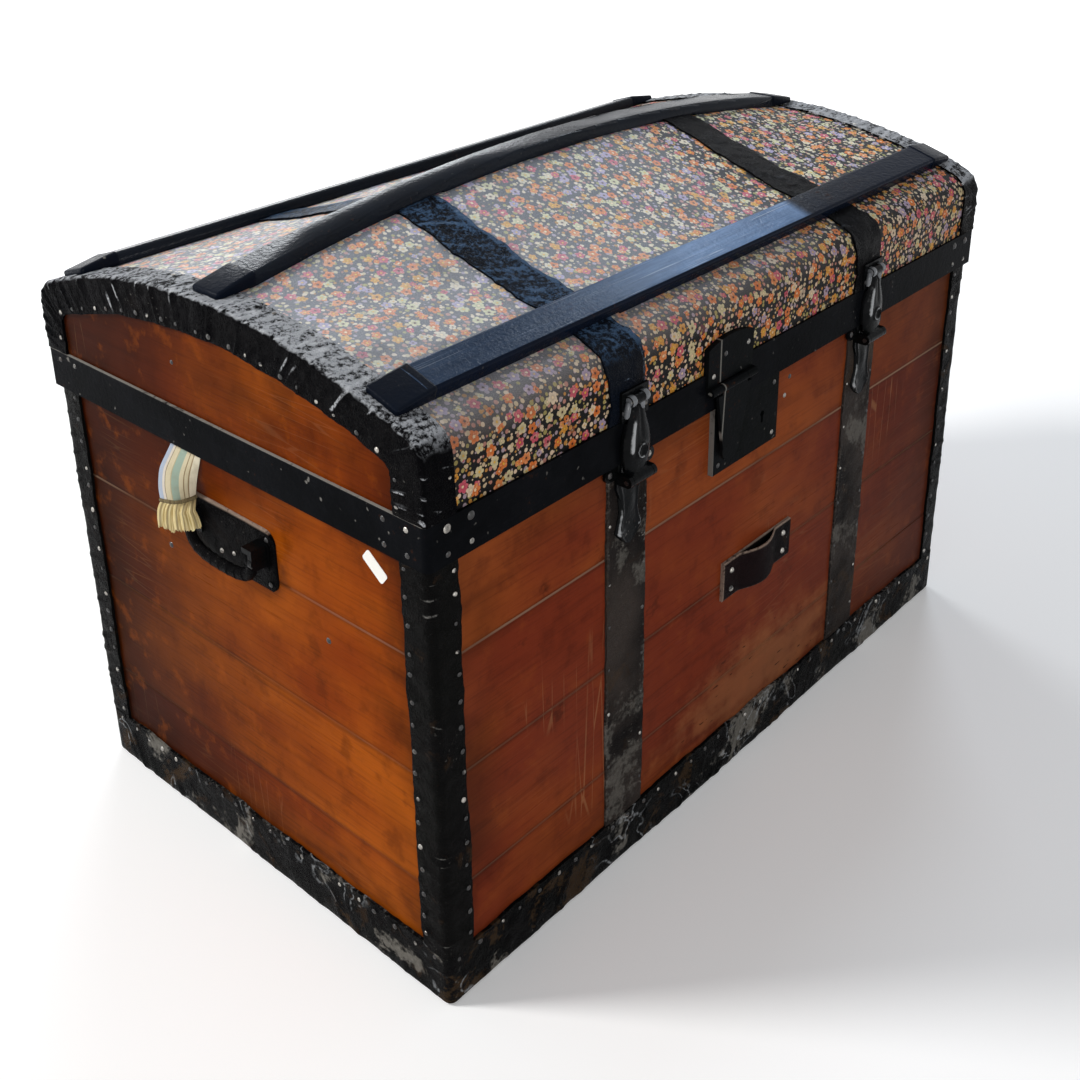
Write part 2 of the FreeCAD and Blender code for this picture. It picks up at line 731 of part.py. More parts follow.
def make_lock_plate():
    half = lock_plate_width / 2
    top = band_bottom - lock_plate_gap
    front = -half_depth - lock_plate_thick
    plate = box(lock_plate_centre - half, lock_plate_centre + half, front, -half_depth, top - lock_plate_height, top)
    x = lock_plate_centre + half / 2
    z = top - lock_plate_height / 2
    plate = plate.cut(rod_y(keyhole_radius, front, front + keyhole_deep, x, z))
    plate = plate.cut(box(x - keyhole_radius / 2, x + keyhole_radius / 2, front, front + keyhole_deep, z - keyhole_slot, z))
    reach = staple_radius + staple_room
    z = lock_z - tongue_length + tongue_tip
    recess = box(lock_centre - reach, lock_centre + reach, front, front + keyhole_deep, z - reach, z + reach)
    save("lock_plate", plate.cut(recess))


def make_lock_upper():
    half = lock_upper_width / 2
    face = -band_out - lock_upper_plate
    low = lock_z + lock_barrel / 2
    high = low + lock_upper_height
    left = lock_centre - half
    right = lock_centre + half
    upper = box(left, right, face, -band_out, low, high).fuse(box(left, right, face, -lid_depth, band_top, high))
    ends = [FreeCAD.Vector(left, face, high), FreeCAD.Vector(right, face, high)]
    arch = Part.Arc(ends[0], FreeCAD.Vector(lock_centre, face, high + lock_upper_arch), ends[1]).toShape()
    cap = Part.Face(Part.Wire([arch, line(ends[1], ends[0])]))
    upper = upper.fuse(cap.extrude(FreeCAD.Vector(0, -lid_depth - face, 0)))
    middle = tongue_knuckle / 2 + knuckle_gap / 2
    room = lock_barrel + 1.5 * knuckle_gap
    span = (lock_centre - middle, lock_centre + middle)
    for a, b in ((left, span[0]), (span[1], right)):
        upper = upper.fuse(rod_x(lock_barrel, a, b, lock_y, lock_z))
        upper = upper.fuse(box(a, b, lock_y, face, lock_z, lock_z + lock_barrel))
    upper = upper.cut(box(span[0], span[1], lock_y - room, -band_out, lock_z - room, lock_z + room))
    bore = rod_x(lock_pin + pin_fit, left - pin_end, right + pin_end, lock_y, lock_z)
    save("lock_upper_plate", upper.cut(bore).removeSplitter())
    save("lock_pin", rod_x(lock_pin, left - pin_end, right + pin_end, lock_y, lock_z))


def make_lock_tongue():
    """The hasp: a plate that narrows to a round tip, its knuckle and the staple behind it."""
    back = lock_y - knuckle_gap / 2
    tip_z = lock_z - tongue_length + tongue_tip
    top_z = lock_z - lock_barrel - 2.5 * knuckle_gap
    wide = tongue_width / 2
    height = top_z - tip_z
    slope = math.asin(tongue_tip / math.hypot(wide, height)) - math.atan2(wide, height)
    side = tongue_tip * math.cos(slope)
    side_z = tip_z - tongue_tip * math.sin(slope)

    def point(dx, z):
        return FreeCAD.Vector(lock_centre + dx, back, z)

    outline = [
        Part.Arc(point(side, side_z), point(0, tip_z - tongue_tip), point(-side, side_z)).toShape(),
        line(point(-side, side_z), point(-wide, top_z)),
        line(point(-wide, top_z), point(wide, top_z)),
        line(point(wide, top_z), point(side, side_z)),
    ]
    tongue = Part.Face(Part.Wire(outline)).extrude(FreeCAD.Vector(0, -tongue_thick, 0))
    neck = tongue_knuckle / 2 - knuckle_gap / 2
    left = lock_centre - neck
    right = lock_centre + neck
    tongue = tongue.fuse(box(left, right, back - tongue_thick, back, top_z - knuckle_gap, lock_z))
    tongue = tongue.fuse(rod_x(lock_barrel, left, right, lock_y, lock_z))
    tongue = tongue.fuse(rod_y(staple_radius, back, back + staple_length, lock_centre, tip_z))
    tongue = tongue.cut(rod_x(lock_pin + pin_fit, left, right, lock_y, lock_z)).removeSplitter()
    tongue.rotate(FreeCAD.Vector(0, lock_y, lock_z), FreeCAD.Vector(1, 0, 0), tongue_lean)
    save("lock_tongue", tongue)


# ---- end handles ----
plate_x = -half_length - handle_plate
grip_x = plate_x - grip_axis_out
grip_z = handle_height + grip_axis_rise


def handle_backing():
    y0 = handle_shift - handle_plate_length / 2
    z0 = handle_height - handle_plate_height / 2
    plate = box(plate_x, -half_length, y0, y0 + handle_plate_length, z0, z0 + handle_plate_height)
    return fillet_where(plate, handle_plate_round, lambda e: spans(e)[0] > 1 and spans(e)[1] + spans(e)[2] < 1e-6)


def handle_cap(side):
    """A lug with its stub pin, a hood above the grip's eye and a foot on the plate."""
    inner = handle_shift + side * (grip_span / 2 - grip_eye_width / 2)
    outer = handle_shift + side * (grip_span / 2 + grip_eye_width / 2 + knuckle_gap)
    far = outer + side * cap_lug
    y0, y1 = sorted((outer, far))
    reach = grip_eye + cap_clear
    lug = box(grip_x, plate_x, y0, y1, grip_z - reach, grip_z + reach)
    lug = lug.fuse(rod_y(reach, y0, y1, grip_x, grip_z))
    a, b = sorted((inner, far))
    hood = box(grip_x - grip_eye, plate_x, a, b, grip_z + reach, grip_z + reach + cap_hood)
    lug = lug.fuse(hood.fuse(box(grip_x - grip_eye, plate_x, y0, y1, grip_z, grip_z + reach + cap_hood)))
    p, q = sorted((inner, outer))
    lug = lug.fuse(rod_y(grip_pin, p, q, grip_x, grip_z))
    c, d = sorted((inner, far + side * cap_foot_side))
    foot = box(plate_x - cap_foot, plate_x, c, d, grip_z - reach - cap_foot_edge, grip_z + reach + cap_hood)
    return lug.fuse(foot).removeSplitter()


def handle_grip():
    """The swinging grip: a sagging curve between two eyes."""
    half = grip_span / 2
    radius = (half ** 2 + grip_sag ** 2) / (2 * grip_sag)
    centre_z = grip_z - grip_sag + radius
    swing = math.asin(half / radius)
    t = grip_thick / 2
    down = -math.pi / 2
    grip = sector(handle_shift, centre_z, radius - t, radius + t, down - swing, down + swing, 0, grip_width)
    grip.translate(FreeCAD.Vector(grip_x - grip_width / 2 - grip_proud, 0, 0))
    inner = half - grip_eye_width / 2
    outer = half + grip_eye_width / 2
    low = centre_z - radius - grip_thick
    room = box(grip_x - grip_width, grip_x + grip_width, handle_shift - outer, handle_shift + outer, low, grip_z)
    grip = grip.common(room)
    bore = grip_pin + pin_fit
    for side in (-1, 1):
        a, b = sorted((handle_shift + side * inner, handle_shift + side * outer))
        grip = grip.fuse(rod_y(grip_eye, a, b, grip_x, grip_z))
    for side in (-1, 1):
        a, b = sorted((handle_shift + side * (inner - 1.5 * knuckle_gap), handle_shift + side * (outer + knuckle_gap)))
        grip = grip.cut(rod_y(bore, a, b, grip_x, grip_z))
    return grip.removeSplitter()


def make_handles():
    plate = handle_backing()
    caps = [handle_cap(-1), handle_cap(1)]
    grip = handle_grip()
    save("left_handle_plate", plate)
    save("left_handle_caps", caps)
    save("left_handle_grip", grip)
    save("right_handle_plate", mirror_x(plate))
    save("right_handle_caps", [mirror_x(cap) for cap in caps])
    save("right_handle_grip", mirror_x(grip))


# ---- front loop handle ----
def make_front_loop():
    x0 = loop_centre_x - loop_length / 2
    x1 = loop_centre_x + loop_length / 2
    z0 = loop_centre_z - loop_height / 2
    z1 = loop_centre_z + loop_height / 2
    back = -half_depth - loop_backing
    save("front_loop_backing", box(x0, x1, back, -half_depth, z0, z1))
    half = loop_length / 2 - loop_flat
    radius = (half ** 2 + loop_bow ** 2) / (2 * loop_bow)
    centre_y = back - loop_bow + radius
    swing = math.asin(half / radius)
    front = back - loop_strap
    outer = radius + loop_strap
    reach = math.sqrt(outer ** 2 - (centre_y - front) ** 2)
    points = [FreeCAD.Vector(loop_centre_x + radius * math.sin(a), centre_y - radius * math.cos(a), z0)
              for a in (-swing, 0, swing)]
    crest = FreeCAD.Vector(loop_centre_x, centre_y - outer, z0)
    left_foot = FreeCAD.Vector(loop_centre_x - reach, front, z0)
    right_foot = FreeCAD.Vector(loop_centre_x + reach, front, z0)
    corner = [FreeCAD.Vector(x0, back, z0), FreeCAD.Vector(x0, front, z0), FreeCAD.Vector(x1, front, z0), FreeCAD.Vector(x1, back, z0)]
    edges = [
        line(corner[0], corner[1]), line(corner[1], left_foot), Part.Arc(left_foot, crest, right_foot).toShape(),
        line(right_foot, corner[2]), line(corner[2], corner[3]), line(corner[3], points[2]),
        Part.Arc(points[2], points[1], points[0]).toShape(), line(points[0], corner[0]),
    ]
    face = Part.Face(Part.Wire(Part.__sortEdges__(edges)))
    save("front_loop_strap", face.extrude(FreeCAD.Vector(0, 0, z1 - z0)))


# ---- nails, rivets, label and tape ----
def make_box_nails():
    heads = []
    front = -half_depth
    loop_face = front - loop_backing - loop_strap
    lock_face = front - lock_plate_thick
    hasp_face = strap_front - hasp_plate
    plate_top = band_bottom - lock_plate_gap
    for side in (-1, 1):
        x = loop_centre_x + side * (loop_length / 2 - loop_flat / 2)
        for z in (loop_centre_z - loop_nail_low, loop_centre_z + loop_nail_high):
            heads.append(head(nail, (x, loop_face, z), (0, -1, 0)))
        x = lock_plate_centre + side * (lock_plate_width / 2 - nail_edge)
        for z in (plate_top - nail_edge, plate_top - lock_plate_height + nail_edge):
            heads.append(head(nail, (x, lock_face, z), (0, -1, 0)))
        for strap_x in strap_places:
            x = strap_x + side * (hasp_ears - hasp_ear_height) / 2
            heads.append(head(stud, (x, hasp_face, band_bottom - hasp_gap - hasp_ear_height / 2), (0, -1, 0)))
        face = side * (half_length + handle_plate)
        for end in (-1, 1):
            y = handle_shift + end * (handle_plate_length / 2 - nail_edge)
            for rise in (-1, 1):
                z = handle_height + rise * (handle_plate_height / 2 - nail_edge)
                heads.append(head(nail, (face, y, z), (side, 0, 0)))
        back = half_depth + strap + leaf
        for strap_x in strap_places:
            x = strap_x + side * (hinge_width / 2 - nail_edge)
            for row in (1, 3):
                heads.append(head(stud, (x, back, hinge_z - leaf_below + row * nail_edge), (0, 1, 0)))
    old = ((front_nail_left, front_nail_left_drop), (front_nail_right, front_nail_right_drop))
    for x, down in old:
        heads.append(head(nail, (x, front, parting - down), (0, -1, 0)))
    old = ((end_nail_front, end_nail_front_drop), (end_nail_back, end_nail_back_drop))
    for y, down in old:
        heads.append(head(stud, (-half_length, y, parting - down), (-1, 0, 0)))
    save("box_nails", heads)


def make_lid_nails():
    heads = []
    high = band_top - nail_edge
    low = band_bottom + nail_edge
    for side in (-1, 1):
        face = side * (lid_length + band)
        for inset in (band_nail_first, band_nail_second):
            x = side * (lid_length - inset)
            y = lid_depth - inset
            for front in (-1, 1):
                heads.append(head(rivet, (x, front * band_out, high), (0, front, 0)))
                heads.append(head(nail, (face, front * y, high), (side, 0, 0)))
            heads.append(head(nail, (x, -band_out, low), (0, -1, 0)))
            heads.append(head(nail, (face, -y, low), (side, 0, 0)))
        for strap_x in strap_places:
            x = strap_x + side * (catch_width / 2 - 1.25 * nail)
            heads.append(head(nail, (x, lid_strap_front - hasp_plate, band_top + nail_edge), (0, -1, 0)))
            x = strap_x + side * (hinge_width / 2 - nail_edge)
            for row in (1, 4):
                heads.append(head(stud, (x, band_out + leaf, hinge_z + leaf_above - row * nail_edge), (0, 1, 0)))
    face = -band_out - lock_upper_plate
    reach = lock_upper_width / 2 - nail_edge
    top = lock_z + lock_upper_height
    for x, z in ((-reach, top - 3 * nail_edge), (-reach / 3, top - nail_edge), (reach, top - nail_edge)):
        heads.append(head(nail, (lock_centre + x, face, z), (0, -1, 0)))
    heads.append(head(tack, (-lid_length, lid_nail_back, parting + lid_nail_rise), (-1, 0, 0)))
    save("lid_nails", heads)


def make_label():
    x = -half_length
    paper = box(x - label_paper, x, -label_length / 2, label_length / 2, -label_height / 2, label_height / 2)
    paper = fillet_where(paper, label_corner, lambda e: spans(e)[0] > 0.1 and spans(e)[1] + spans(e)[2] < 1e-6)
    paper.rotate(FreeCAD.Vector(0, 0, 0), FreeCAD.Vector(1, 0, 0), label_tilt)
    paper.translate(FreeCAD.Vector(0, label_inset - half_depth, parting - label_drop))
    save("blank_label", paper)


def make_tape():
    """The tape: tacked inside, over the end wall and out under the rim band, where it flares."""
    outer = -half_length - tape_stand_off
    inner = wall + lining - half_length
    free = outer - tape_flare
    bend = band_bottom
    end = parting - tape_drop
    straight = bend - tape_flare_length
    points = [
        (free - tape, end), (free - tape, straight), (outer - tape, bend), (outer - tape, parting + tape),
        (inner + tape, parting + tape), (inner + tape, parting - tape_inside), (inner, parting - tape_inside),
        (inner, parting), (outer, parting), (outer, bend), (free, straight), (free, end),
    ]
    y0 = tape_centre_y - tape_width / 2
    wire = Part.makePolygon([FreeCAD.Vector(x, y0, z) for x, z in points + points[:1]])
    save("tape_tail", Part.Face(wire).extrude(FreeCAD.Vector(0, tape_width, 0)))


os.makedirs("parts", exist_ok=True)
make_box_boards()
make_box_lining()
make_box_bindings()
make_box_straps()
make_lid_boards()
make_lid_skins()
make_rim_band()
make_lid_trim()
make_hinges()
make_hasps()
make_lock_plate()
make_lock_upper()
make_lock_tongue()
make_handles()
make_front_loop()
make_box_nails()
make_lid_nails()
make_label()
make_tape()
print("dome radius", round(dome, 1), "crown", crown, "hinge axis", hinge_y, hinge_z)
print("hasp axis", hasp_y, hasp_z, "lock axis", lock_y, lock_z, "grip axis", grip_x, grip_z)
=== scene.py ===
import math

import bmesh
import bpy
import numpy as np
from mathutils import Matrix, Vector


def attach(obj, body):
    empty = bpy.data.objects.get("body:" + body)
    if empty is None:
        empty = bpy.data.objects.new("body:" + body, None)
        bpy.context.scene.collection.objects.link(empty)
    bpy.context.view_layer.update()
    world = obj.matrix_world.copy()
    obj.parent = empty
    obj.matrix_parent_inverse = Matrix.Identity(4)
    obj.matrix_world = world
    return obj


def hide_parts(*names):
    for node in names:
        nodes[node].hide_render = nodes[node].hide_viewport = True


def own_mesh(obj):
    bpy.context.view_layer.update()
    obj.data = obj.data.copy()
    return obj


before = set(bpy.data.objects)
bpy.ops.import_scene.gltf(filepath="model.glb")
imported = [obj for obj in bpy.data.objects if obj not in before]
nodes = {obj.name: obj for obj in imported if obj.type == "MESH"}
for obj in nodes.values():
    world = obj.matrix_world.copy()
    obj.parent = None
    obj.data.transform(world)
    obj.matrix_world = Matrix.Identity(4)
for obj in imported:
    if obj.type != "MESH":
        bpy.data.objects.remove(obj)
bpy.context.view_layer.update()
print("frame loaded,", len(nodes), "solids")


def tone(code):
    # six figures of a usual colour code, as the shader wants them
    parts = [int(code[i:i + 2], 16) / 255 for i in (0, 2, 4)]
    return tuple(p / 12.92 if p <= 0.04045 else ((p + 0.055) / 1.055) ** 2.4 for p in parts) + (1.0,)


class Flow:
    # one output in a node tree, so that sums on it read as sums; colours are given by their codes
    def __init__(self, tree, socket=None):
        self.tree = tree
        self.socket = socket

    def node(self, kind, settings=None, values=None, out=0):
        made = self.tree.nodes.new(kind)
        for key, value in (settings or {}).items():
            if key == "stops":
                ramp = made.color_ramp
                ramp.interpolation = "CONSTANT"
                while len(ramp.elements) < len(value):
                    ramp.elements.new(0.5)
                for stop, (code, place) in zip(ramp.elements, value):
                    stop.position = place
                    stop.color = tone(code)
            else:
                setattr(made, key, value)
        for key, value in (values or {}).items():
            socket = made.inputs[key]
            if isinstance(value, Flow):
                self.tree.links.new(value.socket, socket)
            else:
                coded = socket.type == "RGBA" and isinstance(value, str)
                socket.default_value = tone(value) if coded else value
        return Flow(self.tree, made.outputs[out] if made.outputs else None)

    def sum(self, operation, *others):
        return self.node("ShaderNodeMath", {"operation": operation}, dict(enumerate((self,) + others)))

    def __abs__(self):
        return self.sum("ABSOLUTE")

    def step(self, low, high):
        # 0 below low, 1 above high, smooth between; low may be the larger
        ends = {0: self, 1: min(low, high), 2: max(low, high), 3: float(low > high), 4: float(low < high)}
        return self.node("ShaderNodeMapRange", {"interpolation_type": "SMOOTHSTEP"}, ends)

    def wave(self, count=1.0):
        return (self * 6.2832 * count).sum("SINE") * 0.5 + 0.5

    def between(self, first, second, blend="MIX"):
        # a colour from first to second, as this value goes from 0 to 1
        settings = {"data_type": "RGBA", "blend_type": blend}
        return self.node("ShaderNodeMix", settings, {0: self, 6: first, 7: second}, 2)

    def parts(self):
        split = self.node("ShaderNodeSeparateXYZ", {}, {0: self}).socket.node
        return [Flow(self.tree, split.outputs[i]) for i in range(3)]

    def joined(self, x, y, z=0.0):
        return self.node("ShaderNodeCombineXYZ", {}, {0: x, 1: y, 2: z})

    def cloud(self, scale, detail=2.0, rough=0.5, bend=0.0):
        values = {"Vector": self, "Scale": scale, "Detail": detail, "Roughness": rough, "Distortion": bend}
        return self.node("ShaderNodeTexNoise", {}, values)

    def cells(self, scale, feature="F1", out="Distance", random=1.0, flat=False):
        settings = {"feature": feature, "voronoi_dimensions": "2D" if flat else "3D"}
        values = {"Vector": self, "Scale": scale, "Randomness": random}
        return self.node("ShaderNodeTexVoronoi", settings, values, out)

    def relief(self, distance, strength=1.0):
        return self.node("ShaderNodeBump", {}, {"Strength": strength, "Distance": distance, "Height": self})


operators = {"add": "ADD", "sub": "SUBTRACT", "mul": "MULTIPLY", "truediv": "DIVIDE", "pow": "POWER"}
for sign, operation in operators.items():
    setattr(Flow, "__" + sign + "__", lambda self, other, kind=operation: self.sum(kind, other))
    setattr(Flow, "__r" + sign + "__", lambda self, other, kind=operation: self.node(
        "ShaderNodeMath", {"operation": kind}, {0: other, 1: self}))


def newFinish(name):
    material = bpy.data.materials.new(name)
    material.use_nodes = True
    material.node_tree.nodes.clear()
    flow = Flow(material.node_tree)
    return material, flow, flow.node("ShaderNodeTexCoord", out="Object")


def close(material, flow, values):
    shader = flow.node("ShaderNodeBsdfPrincipled", {}, values)
    flow.node("ShaderNodeOutputMaterial", {}, {0: shader})
    return material


def crestOf(flow):
    # how high a point of a strip stands, from 0 to 1; on the cast pieces, where a highlight is painted
    return flow.node("ShaderNodeAttribute", {"attribute_name": "crest"}, out="Fac")


def upward(flow):
    return flow.node("ShaderNodeNewGeometry", out="Normal").parts()[2]


pine = {
    "pitch": 0.10925,  # height of a board
    "first": 0.003,
    "rings": 34.0,
    "fibre": 420.0,
    "low": (0.13, 0.05),  # heights where the dirt near the floor and under the rim band starts and is full
    "high": (0.36, 0.425),
    "filled": (0.24, 0.27),
}


def pineFinish(name, run, tones, half, grime, reflectedHaze, darkRun, pale=None):
    # varnished pine; run is the axis of the grain, half the distance from the middle to the side bindings
    material, flow, place = newFinish(name)
    light, middle, dark = tones
    front = run == "X"
    x, y, z = place.parts()
    along = x if front else y
    level = (z - pine["first"]) / pine["pitch"]
    row = level.sum("FLOOR")
    shift = row * 3.71
    lot = row + (0.5 if front else 7.5)
    chance = flow.node("ShaderNodeTexWhiteNoise", {"noise_dimensions": "1D"}, {"W": lot})

    def grain(stretch, rise, depth, detail=3.0, rough=0.6, moved=shift):
        return flow.joined(along * stretch + moved, z * rise, depth).cloud(1.0, detail, rough)

    def scratches(turn, scale, wide, thin):
        tilted = flow.node("ShaderNodeMapping", {}, {0: place, 2: turn, 3: scale})
        return tilted.cells(1.0, "DISTANCE_TO_EDGE").step(wide, thin)

    knot = flow.joined(along * 2.6 + shift, z * 7.5 + shift).cells(1.0, flat=True)
    warp = grain(1.3, 7.0, shift, 2.5, 0.55) * 5.2 + knot.step(0.34, 0.02) * 1.6
    rings = (z * pine["rings"] + warp).wave()
    bands = rings ** 2.2 * grain(4.0, 14.0, 2.0).step(0.38, 0.62)
    fibre = grain(16.0, pine["fibre"], 0.0)
    streak = grain(2.2, 60.0, 1.0)
    blotch = grain(3.0, 4.5, 4.0 if front else 9.0, moved=0.0)
    base = (blotch + (chance - 0.5) * 0.25).step(0.34, 0.66).between(light, middle)
    base = ((bands * 0.30 + (streak - 0.45) * 0.85).step(0.06, 0.90) * 0.75).between(base, dark)
    base = (fibre.step(0.45, 0.75) * 0.35).between(base, dark)
    # dirt gathers beside the bindings, low down and under the rim band
    side = (abs(along) - (half - 0.03)).step(-0.035, 0.03)
    cloudy = place.cloud(9.0, 3.0, 0.65)
    mottle = place.cloud(34.0, 4.0, 0.62)
    dirt = (side * 0.75).sum("MAXIMUM", z.step(*pine["low"]) * 0.55)
    dirt = dirt.sum("MAXIMUM", z.step(*pine["high"]) * 0.55)
    dirt = dirt * cloudy.step(0.25, 0.62)
    spots = place.cloud(26.0, 4.0, 0.7).step(0.60, 0.72) * blotch.step(0.5, 0.62)
    # darker towards one end along the run
    start, stop, amount = darkRun
    darkened = (along + (blotch - 0.5) * 0.16).step(start, stop) * amount
    base = darkened.between(base, "190802")
    base = (dirt * grime).between(base, "160a06")
    base = (mottle.step(0.50, 0.72) * 0.40).between(base, dark)
    base = (mottle.step(0.46, 0.30) * 0.22).between(base, light)
    base = (spots * 0.55).between(base, "1b0d07")
    # fine scratches, and a pale line of old filler in the joints
    lines = scratches((0.5, 0.55, 0.45), (5.0, 5.0, 90.0), 0.030, 0.008)
    lines = lines * place.cloud(5.0, 2.0).step(0.56, 0.68)
    nicks = scratches((0.1, 0.08, 0.3), (60.0, 60.0, 3.5), 0.022, 0.006)
    nicks = nicks * place.cloud(7.0, 2.0, 0.5, 0.3).step(0.60, 0.70)
    worn = (lines * 0.07).sum("MAXIMUM", nicks * (0.24 if front else 0.12))
    base = worn.between(base, "b98a5e")
    joint = abs(level - (level + 0.5).sum("FLOOR"))
    filled = z.step(*pine["filled"]) * blotch.step(0.40, 0.60)
    seam = joint.step(0.014, 0.006) * streak.step(0.30, 0.50)
    filler = filled * 0.45 + 0.14 if front else filled * 0.22 + 0.05
    base = (seam * filler).between(base, "c9a88c")
    base = (joint.step(0.045, 0.012) * 0.30).between(base, "170a05")
    if pale:
        # a pale oval: its middle along and up, and its half width and half height
        middleX, middleZ, wide, tall = pale
        across, up = (x - middleX) / wide, (z - middleZ) / tall
        far = (across * across + up * up).sum("SQRT") + (mottle - 0.5) * 1.6 + (streak - 0.5) * 0.8
        base = (far.step(1.25, 0.25) * 0.42).between(base, "9a6640")
        flecks = grain(60.0, 230.0, 3.0, 2.0, 0.5, 0.0).step(0.66, 0.72)
        base = (flecks * far.step(1.3, 0.8) * 0.8).between(base, "1c0d08")
    # painted reflection: a grey haze over the wood, on the front only
    base = (place.cloud(4.0, 2.0).step(0.35, 0.7) * reflectedHaze).between(base, "7d6457")
    rough = 0.24 + blotch * 0.14 + dirt * 0.22 + worn * 0.2 - fibre * 0.04
    relief = (fibre * 0.5 + bands * 0.35 - worn * 1.2 + cloudy * 1.5).relief(0.0005, 0.55)
    values = {"Base Color": base, "Roughness": rough, "Normal": relief, "Specular IOR Level": 0.012}
    return close(material, flow, values)


def edgeWear(place, levels, width, chance):
    # a mask along planes: levels is a list of (axis, place)
    axes = dict(zip("XYZ", place.parts()))
    lines = [abs(axes[axis] - level).step(width, width * 0.2) for axis, level in levels]
    worn = lines[0]
    for line in lines[1:]:
        worn = worn.sum("MAXIMUM", line)
    return worn * chance


def leatherFinish(name, ground, scuffs, patches, shine=0.17, edges=(), gloss=0.010, wear=0.86, worn=0.0,
                  rubAndGlintTone="9a9893", rubAndGlintMix=0.6, sheenTone=None):
    # black waxed leather: pores and creases, crests lightened with scuffs and painted highlights, brown where
    # the black has gone
    material, flow, place = newFinish(name)
    crest = crestOf(flow)
    pores = place.cells(520.0, "DISTANCE_TO_EDGE")
    creases = place.cells(95.0, "SMOOTH_F1")
    folds = place.cloud(46.0, 4.0, 0.6, 0.6)
    broad = place.cloud(9.0, 3.0, 0.6)
    fine = place.cloud(230.0, 3.0, 0.6)
    base = broad.step(0.35, 0.7).between(ground, "100f10")
    bare = (folds * 0.7 + broad * 0.5).step(0.66, 0.80) * patches
    base = bare.between(base, "3a2a1c")
    if worn:
        gone = place.cloud(15.0, 4.0, 0.60, 0.4)
        grey = (gone * 0.85 + fine * 0.18).step(0.565, 0.640) * worn
        base = (grey * 0.9).between(base, fine.between("57534a", "95918a"))
        base = ((gone * 0.8 + fine * 0.2).step(0.44, 0.38) * worn * 0.6).between(base, "4d3a26")
    if worn > 0.5:
        # curled pale scuffs
        curl = abs(place.cloud(24.0, 2.0, 0.5, 0.8) + fine * 0.06 - 0.54).step(0.024, 0.002)
        curl = curl * place.cloud(13.0, 2.0).step(0.46, 0.60) * fine.step(0.36, 0.58)
        base = (curl * 0.6).between(base, "a9adb0")
    if sheenTone:
        # painted sheen: lighter where it faces up, broken by folds and crests
        sheenMask = (folds * 0.4 + place.cloud(240.0, 4.0, 0.75) + crest * 0.25).step(0.66, 0.86)
        base = (sheenMask * upward(flow).step(0.30, 0.85) * 0.85).between(base, sheenTone)
    grit = place.cloud(520.0, 3.0, 0.7).step(0.36, 0.56)
    # partly scuffs, partly painted highlight: crests and rubbed places lightened
    rubbedAndGlint = (crest * 0.75 + fine * 0.35 + (broad - 0.5) * 0.5).step(wear, wear + 0.26) * scuffs * grit
    flecks = place.cloud(310.0, 2.0, 0.5).step(0.68, 0.75) * broad.step(0.50, 0.62) * scuffs
    base = (rubbedAndGlint * rubAndGlintMix).between(base, rubAndGlintTone)
    base = (flecks * 0.55).between(base, "9b9891")
    if edges:
        rim = edgeWear(place, edges, 0.0026, (broad * 0.5 + fine * 0.5).step(0.30, 0.48))
        base = (rim * 0.8).between(base, "a08b7c")
    rough = shine + (broad - 0.5) * 0.30 + rubbedAndGlint * 0.25 + bare * 0.3 + fine * 0.08
    height = pores.step(0.0, 0.25) * 0.22 + creases * 0.9 + folds * 1.3 + fine * 0.25
    values = {"Base Color": base, "Roughness": rough, "Normal": height.relief(0.0022)}
    values["Specular IOR Level"] = gloss
    return close(material, flow, values)


def ironFinish(name, ground, edge, shine, wear, grain=0.6, gloss=0.008, glintPlace=None):
    # painted iron: brush marks, small chips and rust, a rubbed line along the planes in edge, painted
    # highlights where crest is high, and, when given, a painted blue glint on top
    material, flow, place = newFinish(name)
    x, y, z = place.parts()
    brush = flow.joined(x * 30.0, y * 30.0, z * 240.0).cloud(1.0, 3.0, 0.6)
    cloud = place.cloud(14.0, 4.0, 0.65)
    fine = place.cloud(260.0, 3.0, 0.6)
    base = (cloud.step(0.35, 0.7) * 0.5).between(ground, "15161a")
    rust = (cloud * 0.6 + fine * 0.5).step(0.66, 0.74)
    base = (rust * 0.55).between(base, "3b2316")
    if edge:
        rim = edgeWear(place, edge, 0.0014, (cloud * 0.5 + fine * 0.6).step(0.30, 0.55))
        base = (rim * wear).between(base, "a9a59d")
    chips = place.cloud(120.0, 2.0, 0.5).step(0.70, 0.76)
    base = (chips * wear * 0.7).between(base, "8f8c86")
    if glintPlace:
        # painted reflection: a blue glint on top, streaked, with fine pale streaks along it
        drawn = flow.joined(x * 22.0, y * 330.0, z * 330.0).cloud(1.0, 3.0, 0.6)
        cut = flow.joined(x * 9.0, y * 700.0, z * 260.0).cloud(1.0, 2.0, 0.5).step(0.62, 0.70)
        ended = x.step(glintPlace[3], glintPlace[2])
        patch = x.step(glintPlace[0], glintPlace[1]) * ended
        glintSpread = (patch * patch * 0.80 + ended * 0.16) * upward(flow).step(0.80, 0.92)
        base = (glintSpread * (drawn * 0.7 + cloud * 0.6)).between(base, "7f9fcb")
        base = (cut * glintSpread * 0.8).between(base, "c3d2e4")
    # painted highlight: lighter bare metal where crest is high, on the lever's rib and ring and the leaf's
    # edges and scroll
    bare = (crestOf(flow) + (fine - 0.5) * 0.6).step(0.45, 0.85)
    base = bare.between(base, "a3a5a6")
    rough = shine + (cloud - 0.5) * 0.22 + rust * 0.3 + (brush - 0.5) * 0.08
    height = (brush * 0.25 + fine * grain + cloud * 1.2).relief(0.0006, 0.6)
    values = {"Base Color": base, "Roughness": rough, "Normal": height, "Specular IOR Level": gloss}
    return close(material, flow, values)


